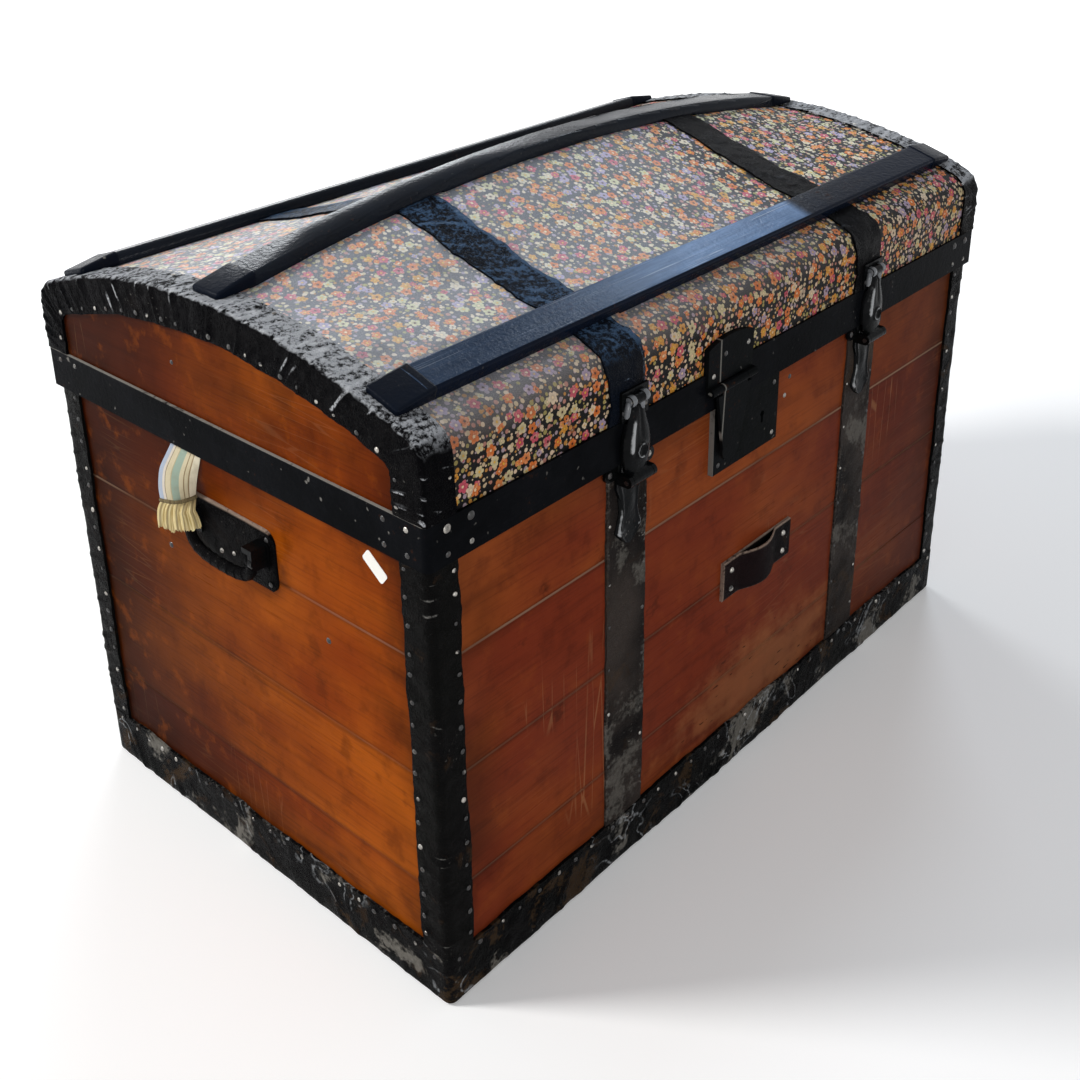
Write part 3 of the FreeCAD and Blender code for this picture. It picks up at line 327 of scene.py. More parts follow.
floral = {
    # each print: distance between its cells, seed, radius, share of cells that have one, and a flower's lobes
    "specks": (0.0046, 71.3, 0.20, 0.50),
    "dots": (0.0058, 31.7, 0.30, 0.88),
    "small": (0.0125, 57.1, 0.25, 0.40, 4.0),
    "large": (0.0150, 5.9, 0.315, 0.93, 5.0),
    "uneven": 0.86,
    "ground": "080709",
    "petalTones": [
        ("e0813a", 0.0), ("cc5a78", 0.28), ("d6d9b4", 0.44), ("aea7cf", 0.58),
        ("dfa845", 0.70), ("e5955a", 0.79), ("e4dfcd", 0.92),
    ],
    "dotTones": [
        ("d3cbb0", 0.0), ("bd8f88", 0.30), ("a9a86c", 0.46), ("c1934a", 0.58),
        ("aca5bb", 0.70), ("e6dcc8", 0.82),
    ],
    "eyeTones": [("e9c544", 0.0), ("3d1a18", 0.5), ("f3e7c8", 0.75)],
    "threads": 2600.0,  # to a metre
}


def floralFinish(name):
    # printed cotton with a black ground: five-petalled flowers and dots, varnished, with a painted grey
    # reflection and glare on top
    material, flow, place = newFinish(name)
    sheet = flow.node("ShaderNodeTexCoord", out="UV")
    u, v = sheet.parts()[:2]
    jitter = sheet.cloud(900.0, 2.0)
    wobble = sheet.cloud(240.0, 2.0)

    def cellsOf(size, seed):
        # the offset from a cell's centre, and the cell's own chances
        at = flow.joined(u / size + seed, v / size + seed * 1.7)
        uneven = floral["uneven"]
        centre, chance = [at.cells(1.0, out=out, random=uneven, flat=True) for out in ("Position", "Color")]
        apart = flow.node("ShaderNodeVectorMath", {"operation": "SUBTRACT"}, {0: at, 1: centre})
        dx, dy = apart.parts()[:2]
        return dx, dy, (dx * dx + dy * dy).sum("SQRT"), chance.parts()

    def pick(chance, stops):
        return chance.node("ShaderNodeValToRGB", {"stops": stops}, {0: chance})

    def spotted(below, size, seed, radius, share):
        far, (c1, c2, c3) = cellsOf(size, seed)[2:]
        far = far / (c3 * 0.45 + 0.75)
        shape = far.step(radius * 1.14, radius * 0.86) * c2.step(share + 0.01, share - 0.01)
        return shape.between(below, pick(c1, floral["dotTones"]))

    def flowered(below, size, seed, radius, share, lobes):
        dx, dy, far, (c1, c2, c3) = cellsOf(size, seed)
        angle = dy.sum("ARCTAN2", dx) + c2 * 6.2832
        lobe = abs((angle * (lobes / 2)).sum("COSINE")) ** 0.75
        petal = lobe * 0.38 + 0.64 + (wobble - 0.5) * 0.5
        reach = far / (petal * (c3 * 0.28 + 0.84) * radius)
        shape = reach.step(1.05, 0.93) * c2.step(share + 0.01, share - 0.01)
        body = (reach.step(0.75, 0.25) * 0.25).between(pick(c1, floral["petalTones"]), "6e2f22", "MULTIPLY")
        body = (lobe.step(0.34, 0.08) * reach.step(0.15, 0.6) * 0.30).between(body, "2a1a18")
        body = ((wobble + jitter * 0.5).step(0.75, 1.0) * 0.4).between(body, "fff3dd")
        body = reach.step(0.30, 0.20).between(body, pick(c3, floral["eyeTones"]))
        return shape.between(below, body)

    # painted reflection: the black ground is painted grey on top, most at the left
    left, zHeight = place.parts()[::2]
    top = zHeight.step(0.490, 0.530)
    reflectedTop = top * (left.step(0.30, -0.35) * 0.75 + left.step(0.125, 0.100) * 0.25)
    ground = (reflectedTop * 0.85 + top * 0.08).between(floral["ground"], "565d69")
    base = spotted(spotted(ground, *floral["specks"]), *floral["dots"])
    base = flowered(flowered(base, *floral["small"]), *floral["large"])
    # weave, painted glare over the grey top, a darker and warmer lower part, and grime
    weave = u.wave(floral["threads"]) * v.wave(floral["threads"])
    broad = place.cloud(5.0, 3.0, 0.6)
    spots = place.cloud(30.0, 4.0, 0.65)
    # painted glare: a pale wash over the greyed top
    glare = jitter.step(0.35, 0.75) * 0.22 + broad * 0.30 + 0.03
    base = (reflectedTop * glare).between(base, "e4e8ef")
    base = ((weave * 0.25 + (jitter - 0.5) * 0.35).step(0.0, 0.6) * 0.18).between(base, "080808")
    soot = (broad * 0.8 + spots * 0.5).step(0.70, 0.92)
    base = (soot * 0.35).between(base, "2a2420")
    # darker and warmer below the shoulders
    base = zHeight.step(0.545, 0.500).between(base, "e2cfc0", "MULTIPLY")
    rough = 0.40 - top * 0.08 + spots * 0.12
    height = (weave * 0.25 + spots * 1.4 + jitter * 0.2).relief(0.0006, 0.5)
    values = {"Base Color": base, "Roughness": rough, "Normal": height, "Specular IOR Level": 0.08}
    values["Coat Weight"] = reflectedTop * 0.07 + top * 0.03
    values["Coat Roughness"] = 0.30
    return close(material, flow, values)


def nailFinish(name, share=0.62):
    # steel nail heads, some bright, most painted over with the leather
    material, flow, place = newFinish(name)
    each = place.cells(70.0, out="Color").parts()[0]
    cloud = place.cloud(300.0, 3.0, 0.6)
    bright = (each + (cloud - 0.5) * 0.5).step(share, share + 0.3)
    base = bright.between("161515", "a39f98")
    base = (cloud.step(0.55, 0.7) * 0.5).between(base, "4a3527")
    values = {"Base Color": base, "Roughness": 0.30 + cloud * 0.2, "Metallic": bright * 0.85}
    values["Normal"] = cloud.relief(0.0003, 0.5)
    return close(material, flow, values)


def paperFinish(name, ground, stain, amount):
    material, flow, place = newFinish(name)
    broad = place.cloud(6.0, 4.0, 0.6)
    spots = place.cloud(42.0, 4.0, 0.7)
    fibre = place.cloud(420.0, 3.0, 0.6)
    base = (broad.step(0.40, 0.75) * amount).between(ground, stain)
    base = (spots.step(0.60, 0.72) * amount).between(base, stain)
    base = (fibre * 0.25 * amount).between(base, stain)
    height = (fibre * 0.6 + broad * 2.0 + spots * 0.5).relief(0.0004, 0.5)
    return close(material, flow, {"Base Color": base, "Roughness": 0.72 + fibre * 0.15, "Normal": height})


def plainPineFinish(name):
    material, flow, place = newFinish(name)
    x, y, z = place.parts()
    grain = flow.joined(x * 9.0, y * 160.0, z * 160.0).cloud(1.0, 3.0, 0.6)
    broad = flow.joined(x * 2.0, y * 20.0, z * 20.0).cloud(1.0, 3.0, 0.6)
    base = grain.step(0.35, 0.7).between("b58c5c", "7c5632")
    base = (broad.step(0.45, 0.7) * 0.5).between(base, "5c3d22")
    relief = grain.relief(0.0005, 0.6)
    return close(material, flow, {"Base Color": base, "Roughness": 0.62 + grain * 0.2, "Normal": relief})


# the front boards' tones are darker than the end boards': partly their own colour, partly painted shade
frontPine = pineFinish("PineFront", "X", ("8e461d", "702c18", "42170d"), 0.380, 0.8, 0.05, (0.0, 0.42, 0.50),
                       (0.035, 0.088, 0.150, 0.050))
endPine = pineFinish("PineEnd", "Y", ("a2500c", "7a2f06", "3b1202"), 0.214, 0.9, 0.0, (-0.20, 0.24, 0.86))
bindingLeather = leatherFinish("BindingLeather", "0e0e0d", 1.0, 0.7, wear=0.66)
archLeather = leatherFinish("ArchLeather", "050507", 1.2, 0.05, wear=0.62, rubAndGlintTone="c4c6ca", rubAndGlintMix=0.75,
                            sheenTone="b8bbc0")
bottomLeather = leatherFinish("BottomLeather", "080909", 1.2, 0.9, wear=0.74, worn=0.8)
strapLeather = leatherFinish("StrapLeather", "3d3632", 1.0, 0.3, 0.28, wear=0.60, worn=0.45, rubAndGlintTone="8a8078")
# painted reflection: the left lid strap's blue ground, blue sheen on top and pale blue crests stand for blue
# sky mirrored in it; the right strap has no blue
lidLeather = leatherFinish("LidLeather", "0b111b", 1.2, 0.05, 0.24, gloss=0.02, wear=0.56, rubAndGlintTone="8fa3bb",
                           rubAndGlintMix=0.7, sheenTone="46607f")
lidLeatherRight = leatherFinish("LidLeatherRight", "08090c", 0.8, 0.05, 0.24, gloss=0.02, wear=0.60,
                                rubAndGlintTone="5a5e66")
loopLeather = leatherFinish("LoopLeather", "1d1314", 0.7, 0.4, 0.34, (("Z", 0.2450), ("X", -0.0390)),
                            wear=0.70)
plateLeather = leatherFinish("PlateLeather", "070708", 0.5, 0.1, 0.22, (("Z", 0.3758),))
# partly rubbed metal, partly painted highlight: the catch's bumps are painted light grey
rubbedGlintIron = ironFinish("RubbedGlintIron", "6f7276", (), 0.26, 0.9, 1.2, 0.5)
bandIron = ironFinish("BandIron", "07080a", (), 0.26, 0.4)
endIron = ironFinish("EndIron", "07080a", (("Z", 0.4556),), 0.26, 0.75)
castIron = ironFinish("CastIron", "070808", (), 0.18, 0.35, 1.2, 0.05)
lockIron = ironFinish("LockIron", "0a0c0b", (("X", -0.0667),), 0.28, 0.4, 0.9)
# painted reflection: the slats' and caps' blue-black grounds stand for blue sky mirrored in black paint
slatPaint = ironFinish("SlatPaint", "171d26", (), 0.20, 0.15, 1.6, 0.075)
# the front slat's blue glint on top is painted reflection
frontSlatPaint = ironFinish("FrontSlatPaint", "0b1526", (), 0.20, 0.15, 1.6, 0.03,
                            (-0.30, -0.02, 0.115, 0.135))
capTin = ironFinish("CapTin", "0b121e", (), 0.26, 0.8, 1.2, 0.04)
nailSteel = nailFinish("NailSteel")
brightSteel = nailFinish("BrightSteel", 0.0)
coverPrint = floralFinish("CoverPrint")

for finish, names in (
    (frontPine, "front_boards back_boards"),
    (endPine, "left_end_boards right_end_boards lid_left_panel lid_right_panel"),
    (plainPineFinish("RoughPine"), "floor_boards dome_boards lid_front_rail lid_back_rail"),
    (paperFinish("LiningPaper", "cbb78f", "7b5a35", 0.75), "box_lining lid_lining"),
    (bandIron, "back_band rim_band_front rim_band_back hinge_lower_leaves hinge_upper_leaves"),
    (endIron, "rim_band_left_end rim_band_right_end"),
    (castIron, "hasp_plate_left hasp_plate_right hasp_catches left_handle_caps right_handle_caps"),
    (lockIron, "lock_plate lock_upper_plate lock_tongue"),
    (nailSteel, "hinge_pins hasp_pins lock_pin box_nails lid_nails"),
    (paperFinish("LabelPaper", "f2f0ea", "c9bfa8", 0.25), "blank_label"),
):
    for name in names.split():
        for slot in nodes[name].material_slots:
            slot.material = finish
print("finishes made")


def ripple(u, v, seed):
    # smooth random waves from -1 to 1, one to a unit of u and of v
    table = np.random.default_rng(seed).random((97, 89)) * 2 - 1
    v = np.broadcast_to(v, np.shape(u))
    iu, iv = np.floor(u).astype(int), np.floor(v).astype(int)
    fu, fv = u - iu, v - iv
    fu = fu * fu * (3 - 2 * fu)
    fv = fv * fv * (3 - 2 * fv)

    def at(a, b):
        return table[a % 97, b % 89]

    low = at(iu, iv) * (1 - fu) + at(iu + 1, iv) * fu
    high = at(iu, iv + 1) * (1 - fu) + at(iu + 1, iv + 1) * fu
    return low * (1 - fv) + high * fv


def creaseLine(run, spacing, width, seed):
    # sharp folds across a strip, at uneven places along it
    chance = np.random.default_rng(seed)
    height = np.zeros_like(run)
    place = run.min() - spacing
    while place < run.max() + spacing:
        place += spacing * chance.uniform(0.45, 1.6)
        wide = width * chance.uniform(0.6, 1.5)
        tall = chance.uniform(0.35, 1.0)
        apart = (run - place) / wide
        height = np.maximum(height, tall * np.clip(1 - np.abs(apart), 0, 1) ** 1.3)
    return height


def unit(vectors):
    return vectors / np.maximum(np.linalg.norm(vectors, axis=-1, keepdims=True), 1e-12)


def distances(points):
    # from the first point to each, along the line through them
    return np.concatenate([[0], np.cumsum(np.linalg.norm(np.diff(points, axis=0), axis=1))])


def shown(name, mesh, finish, angle):
    mesh.shade_smooth()
    mesh.set_sharp_from_angle(angle=math.radians(angle))
    mesh.materials.append(finish)
    piece = bpy.data.objects.new(name, mesh)
    bpy.context.scene.collection.objects.link(piece)
    return piece


def settle(piece, body, slot, *replaced):
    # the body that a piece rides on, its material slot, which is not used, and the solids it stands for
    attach(piece, body)
    if replaced:
        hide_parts(*replaced)
    return piece


def sheetPiece(name, outer, facing, thickness, finish, crest=0.0, uv=None):
    # a strip with a grid of points as its outer face, its thickness turned inwards, and its rim closed
    rows, cols = outer.shape[:2]
    inner = outer - facing * np.broadcast_to(thickness, (rows, cols))[..., None]
    points = np.concatenate([outer.reshape(-1, 3), inner.reshape(-1, 3)])
    count = rows * cols
    grid = np.arange(count).reshape(rows, cols)
    quads = np.stack([grid[:-1, :-1], grid[1:, :-1], grid[1:, 1:], grid[:-1, 1:]], -1).reshape(-1, 4)
    middle = quads[len(quads) // 2]
    turn = np.cross(points[middle[1]] - points[middle[0]], points[middle[3]] - points[middle[0]])
    if np.dot(turn, facing.reshape(-1, 3)[middle[0]]) < 0:
        quads = quads[:, ::-1]
    edge = np.concatenate([grid[0, :], grid[1:, -1], grid[-1, -2::-1], grid[-2:0:-1, 0]])
    following = np.roll(edge, -1)
    rim = np.stack([edge, following, following + count, edge + count], -1)
    borders = {(a, b) for face in quads for a, b in zip(face, np.roll(face, -1))}
    if (edge[0], following[0]) in borders:
        rim = rim[:, ::-1]
    mesh = bpy.data.meshes.new(name)
    mesh.from_pydata(points.tolist(), [], np.concatenate([quads, quads[:, ::-1] + count, rim]).tolist())
    mesh.update()
    if uv is None:
        down, over = distances(outer[:, cols // 2]), distances(outer[rows // 2])
        uv = np.stack(np.meshgrid(down, over, indexing="ij"), -1)
    corners = np.empty(len(mesh.loops), dtype=np.int32)
    mesh.loops.foreach_get("vertex_index", corners)
    flat = np.tile(uv.reshape(-1, 2), (2, 1))
    mesh.uv_layers.new(name="Strip").data.foreach_set("uv", flat[corners].ravel())
    crest = np.broadcast_to(crest, (rows, cols)).reshape(-1)
    heights = np.tile(crest, 2).astype(np.float32)
    mesh.attributes.new("crest", "FLOAT", "POINT").data.foreach_set("value", heights)
    return shown(name, mesh, finish, 50)


lidForm = {
    "depth": 0.2455,  # half, over the cloth
    "shoulder": 0.024,
    "shoulderZ": 0.497,
    "crown": 0.561,
    "bandTop": 0.455,
    "length": 0.4115,  # half, over the end panels
    "bowRise": 0.034,  # the dome is bowed along its length too
    "bowLength": 0.384,  # half
    "ridge": 0.020,  # half width of the top of the bow, and where its sides end
    "foot": 0.185,
    "sink": 0.004,
    "ease": 0.0016,  # how softly the bow leaves the dome
    "sideFall": 0.4,  # slopes that take the bow away past its foot and its ends
    "endFall": 2.0,
}


def lidShape():
    # the dome's radius, the height of its centre line, how far out the shoulders' centres are, and their turn
    small = lidForm["shoulder"]
    side = lidForm["depth"] - small
    rise = lidForm["crown"] - lidForm["shoulderZ"]
    radius = (side ** 2 + rise ** 2 - small ** 2) / (2 * (rise - small))
    centre = lidForm["crown"] - radius
    return radius, centre, side, math.atan2(lidForm["shoulderZ"] - centre, side)


dome, domeZ, shoulderY, shoulderTurn = lidShape()


def bowRise(x, y):
    # how far the bow stands over the plain dome
    rise, foot, ridge = lidForm["bowRise"], lidForm["foot"], lidForm["ridge"]
    bow = (lidForm["bowLength"] ** 2 + rise ** 2) / (2 * rise)
    top = lidForm["crown"] + rise - bow + np.sqrt(bow ** 2 - x ** 2)
    low = domeZ + math.sqrt(dome ** 2 - foot ** 2) - lidForm["sink"]
    out = np.minimum(np.abs(y), foot)
    side = top + (low - top) * np.clip(out - ridge, 0, None) / (foot - ridge)
    over = side - (domeZ + np.sqrt(dome ** 2 - out ** 2)) - lidForm["sideFall"] * (np.abs(y) - out)
    over = over - lidForm["endFall"] * np.clip(np.abs(x) - lidForm["bowLength"], 0, None)
    return 0.5 * (over + np.sqrt(over ** 2 + lidForm["ease"] ** 2))


def runEnds(low):
    # where the front wall, the shoulder, the dome, the back shoulder and the back wall end along the section
    wall = lidForm["shoulderZ"] - low
    turn = lidForm["shoulder"] * shoulderTurn
    return np.cumsum([0, wall, turn, dome * (math.pi - 2 * shoulderTurn), turn, wall])


def lidSection(low, pitch):
    # points (y, z) of the cloth's outside from the front edge over to the back, their outward direction,
    # and the run
    small, top = lidForm["shoulder"], lidForm["shoulderZ"]
    ends = runEnds(low)
    run = np.linspace(0, ends[-1], int(ends[-1] / pitch) + 1)
    points = np.empty((len(run), 2))
    facing = np.empty((len(run), 2))
    for i, s in enumerate(run):
        if s <= ends[1]:
            points[i], facing[i] = (-lidForm["depth"], low + s), (-1, 0)
            continue
        if s >= ends[4]:
            points[i], facing[i] = (lidForm["depth"], top - (s - ends[4])), (1, 0)
            continue
        if s < ends[2]:
            angle, middle, radius = math.pi - (s - ends[1]) / small, (-shoulderY, top), small
        elif s <= ends[3]:
            angle, middle, radius = math.pi - shoulderTurn - (s - ends[2]) / dome, (0, domeZ), dome
        else:
            angle, middle, radius = shoulderTurn - (s - ends[3]) / small, (shoulderY, top), small
        facing[i] = (math.cos(angle), math.sin(angle))
        points[i] = middle + radius * facing[i]
    return points, facing, run


def overLid(section, facing, xs, lift):
    # a grid over the lid at places along it, xs; lift is the height over the cloth, a number or a grid
    grid = np.empty((len(section), xs.shape[-1], 3))
    grid[:, :, 0] = xs
    lift = np.broadcast_to(lift, grid.shape[:2])
    grid[:, :, 1] = section[:, 0, None] + facing[:, 0, None] * lift
    bow = bowRise(grid[:, :, 0], section[:, 0, None])
    grid[:, :, 2] = section[:, 1, None] + facing[:, 1, None] * lift + bow
    out = np.zeros_like(grid)
    out[:, :, 1:] = facing[:, None, :]
    return grid, out


cloth = {"low": 0.44095, "thickness": 0.0009, "wave": 0.00035, "sunk": 0.0002, "pitch": 0.005, "columns": 180}


def makeCover():
    section, facing, run = lidSection(cloth["low"], cloth["pitch"])
    xs = np.linspace(-lidForm["length"], lidForm["length"], cloth["columns"])
    u, v = np.meshgrid(run, xs, indexing="ij")
    waves = ripple(u / 0.05, v / 0.06 + 40, 3) + 0.5 * ripple(u / 0.014, v / 0.017 + 80, 4)
    grid, out = overLid(section, facing, xs, cloth["wave"] * waves - cloth["sunk"])
    uv = np.stack([v + 0.5, u], -1)
    piece = sheetPiece("cloth_cover", grid, out, cloth["thickness"], coverPrint, uv=uv)
    settle(piece, "lid", "floral_cloth", "lid_cover")


makeCover()
print("cover laid")

arch = {
    "face": 0.033,
    "top": 0.028,
    "lip": 0.002,
    "stand": 0.0025,  # thickness on the end panel
    "round": 0.0035,
    "soft": 0.010,  # rounding of the inner corner, along each side
    "pleat": 0.0013,
    "pleatEvery": 0.014,
    "pitch": 0.0012,
    "columns": (11, 5, 11),  # over the face, the turn and the top
    "faceEnd": 0.13,
    "width": 0.064,  # over all of them
}


def archInner(run):
    # the inner edge of the face, matched point by point with the outer edge
    inset = arch["face"] - arch["lip"]
    y = lidForm["depth"] - inset
    radius = dome - inset
    corner = math.acos(y / radius)
    low = lidForm["bandTop"]
    ends = runEnds(low)
    cornerZ = domeZ + radius * math.sin(corner)
    first = corner + arch["soft"] / radius
    points = np.empty((len(run), 2))
    for i, s in enumerate(run):
        mirror = s > ends[-1] / 2
        t = ends[-1] - s if mirror else s
        if t <= ends[1]:
            p = (-y, low + (cornerZ - arch["soft"] - low) * t / ends[1])
        elif t < ends[2]:
            k = (t - ends[1]) / (ends[2] - ends[1])
            a = np.array((-y, cornerZ - arch["soft"]))
            b = np.array((-y, cornerZ))
            c = np.array((-radius * math.cos(first), domeZ + radius * math.sin(first)))
            p = (1 - k) ** 2 * a + 2 * k * (1 - k) * b + k * k * c
        else:
            angle = first + (math.pi / 2 - first) * (t - ends[2]) / (ends[-1] / 2 - ends[2])
            p = (-radius * math.cos(angle), domeZ + radius * math.sin(angle))
        points[i] = (-p[0], p[1]) if mirror else p
    return points


def makeArch(name, side, seed):
    section, facing, run = lidSection(lidForm["bandTop"], arch["pitch"])
    inner = archInner(run)
    outer = section + facing * arch["lip"]
    r = arch["round"]
    edge = outer - facing * r
    xFace = lidForm["length"] + arch["stand"]
    onFace, onTurn, onTop = arch["columns"]
    still = np.zeros(len(run))
    places, outs = [], []
    for k in np.linspace(1.0, arch["faceEnd"], onFace):
        p = edge + (inner - edge) * (k - arch["faceEnd"]) / (1 - arch["faceEnd"])
        places.append((still + xFace, p[:, 0], p[:, 1]))
        outs.append((still + 1, still, still))
    for a in np.linspace(0.15, 0.85, onTurn) * math.pi / 2:
        p = edge + facing * r * math.sin(a)
        places.append((still + xFace - r + r * math.cos(a), p[:, 0], p[:, 1]))
        outs.append((still + math.cos(a), facing[:, 0] * math.sin(a), facing[:, 1] * math.sin(a)))
    for k in np.linspace(0.0, 1.0, onTop):
        places.append((still + xFace - r - k * (arch["top"] + arch["stand"] - r), outer[:, 0], outer[:, 1]))
        outs.append((still, facing[:, 0], facing[:, 1]))
    grid = np.array(places).transpose(2, 0, 1)
    out = np.array(outs).transpose(2, 0, 1)
    cols = grid.shape[1]
    column = np.arange(cols)
    u = np.repeat(run[:, None], cols, 1)
    v = np.repeat(np.linspace(0, arch["width"], cols)[None, :], len(run), 0)
    # pleats that lean and wander
    lean = u + 0.004 * ripple(u / 0.06, v / 0.03, seed) + 0.1 * v
    fold = creaseLine(lean, arch["pleatEvery"], 0.0045, seed)
    second = creaseLine(lean + 0.3 * v, arch["pleatEvery"] * 0.8, 0.0028, seed + 5)
    weight = np.interp(column, [0, 3, 12, 16, 20, cols - 1], [0.7, 1.0, 1.0, 0.75, 0.45, 0.3])[None, :]
    height = (fold + 0.45 * second) * weight * arch["pleat"]
    broad, grit = ripple(u / 0.018, v / 0.012, seed + 2), ripple(u / 0.006, v / 0.005, seed + 3)
    height += 0.0004 * broad + 0.0003 * grit
    grid += out * height[..., None]
    # the cut edges wander a little
    grid[:, -2:, 0] += 0.0012 * ripple(u / 0.02, 0.0, seed + 9)[:, -2:]
    grid[:, 0, 1:] += unit(inner - edge) * (0.0010 * ripple(run / 0.022, 0.0, seed + 11))[:, None]
    # scuffs and painted highlights on the pleats and, broken, along the top, less towards the front and the
    # back
    fine = np.clip(ripple(u / 0.0035, v / 0.016, seed + 21), 0, 1)
    front = np.interp(section[:, 0], [-0.24, -0.15, 0.0, 0.12], [0.35, 1.0, 1.0, 0.45])[:, None]
    rubbedAndGlint = np.interp(column, [9, 13, 17, cols - 1], [0.0, 0.65, 0.9, 1.0])[None, :]
    rubbedAndGlint = rubbedAndGlint * np.clip(0.25 + 0.9 * fine, 0, 1) * front
    broken = np.clip(0.75 + 0.6 * ripple(u / 0.03, v / 0.009, seed + 23), 0.15, 1)
    crest = np.clip((0.85 * fold + 0.7 * second) * np.maximum(weight, 0.6) * broken + rubbedAndGlint, 0, 1)
    grid[..., 0] *= side
    out[..., 0] *= side
    thick = np.interp(column, [0, 11, 15, cols - 1], [arch["stand"] * 0.9, 0.0022, 0.0018, arch["lip"] * 0.8])
    return sheetPiece(name, grid, out, thick[None, :] + np.maximum(height, 0) * 0.5, archLeather, crest)


for end, side, seed in (("left", -1, 21), ("right", 1, 47)):
    settle(makeArch("arch_leather_" + end, side, seed), "lid", "black_leather", "arch_binding_" + end)
print("arch bindings made")

corner = {
    "width": 0.030,
    "round": 0.008,
    "x": 0.410,
    "y": 0.244,
    "low": 0.050,
    "high": 0.4381,
    "pitch": 0.0014,
    "thickness": 0.00279,
    "fold": 0.0011,
    "foldEvery": 0.017,
    "girth": 0.056,
}


def makeCorner(name, sideX, sideY, seed):
    r = corner["round"]
    flat = corner["width"] - r
    places = [(corner["x"], corner["y"] - corner["width"] + flat * k, 1, 0) for k in np.linspace(0, 1, 9)]
    for a in np.linspace(0, math.pi / 2, 7)[1:-1]:
        x, y = math.cos(a), math.sin(a)
        places.append((corner["x"] - r + r * x, corner["y"] - r + r * y, x, y))
    places += [(corner["x"] - r - flat * k, corner["y"], 0, 1) for k in np.linspace(0, 1, 9)]
    places = np.array(places)
    cols = len(places)
    zs = np.arange(corner["low"], corner["high"], corner["pitch"])
    grid = np.empty((len(zs), cols, 3))
    out = np.zeros((len(zs), cols, 3))
    grid[:, :, :2] = places[None, :, :2]
    grid[:, :, 2] = zs[:, None]
    out[:, :, :2] = places[None, :, 2:]
    v = np.repeat(np.linspace(0, corner["girth"], cols)[None, :], len(zs), 0)
    u = np.repeat(zs[:, None], cols, 1)
    lean = u + 0.006 * ripple(u / 0.08, v / 0.02, seed) + 0.15 * v
    fold = creaseLine(lean, corner["foldEvery"], 0.004, seed + 1)
    weight = 0.35 + 0.65 * np.exp(-((np.arange(cols) - (cols - 1) / 2) / 5.0) ** 2)[None, :]
    bulge = ripple(u / 0.045, v / 0.05, seed + 4)
    height = fold * weight * corner["fold"] * np.clip(0.6 + bulge, 0.1, 1.4)
    height += 0.0006 * bulge * weight + 0.0004 * ripple(u / 0.012, v / 0.010, seed + 2)
    grid += out * height[..., None]
    for column, axis in ((0, 1), (cols - 1, 0)):
        wander = 0.0012 * ripple(zs / 0.025, 0.0, seed + 20 + column)
        grid[:, column, axis] -= wander + 0.0005 * ripple(zs / 0.006, 0.0, seed + 40 + column)
    for axis, side in enumerate((sideX, sideY)):
        grid[..., axis] *= side
        out[..., axis] *= side
    crest = np.clip(fold * weight, 0, 1)
    return sheetPiece(name, grid, out, corner["thickness"] + height, bindingLeather, crest)


cornerEnds = (("front_left", -1, -1), ("front_right", 1, -1), ("back_left", -1, 1), ("back_right", 1, 1))
for number, (end, x, y) in enumerate(cornerEnds):
    strip = makeCorner("corner_leather_" + end, x, y, 60 + 7 * number)
    settle(strip, "chest", "black_leather", "corner_binding_" + end)
print("corner bindings made")

bottom = {
    "x": 0.410,
    "y": 0.244,
    "round": 0.008,
    "tightest": 0.0006,  # radius of the inmost corner
    "height": 0.052,
    "tuck": 0.040,
    "thickness": 0.00279,
    "fold": 0.0010,
    "foldEvery": 0.024,
    "edge": 0.004,
    "pitch": 0.0024,
    "girth": 0.095,
}


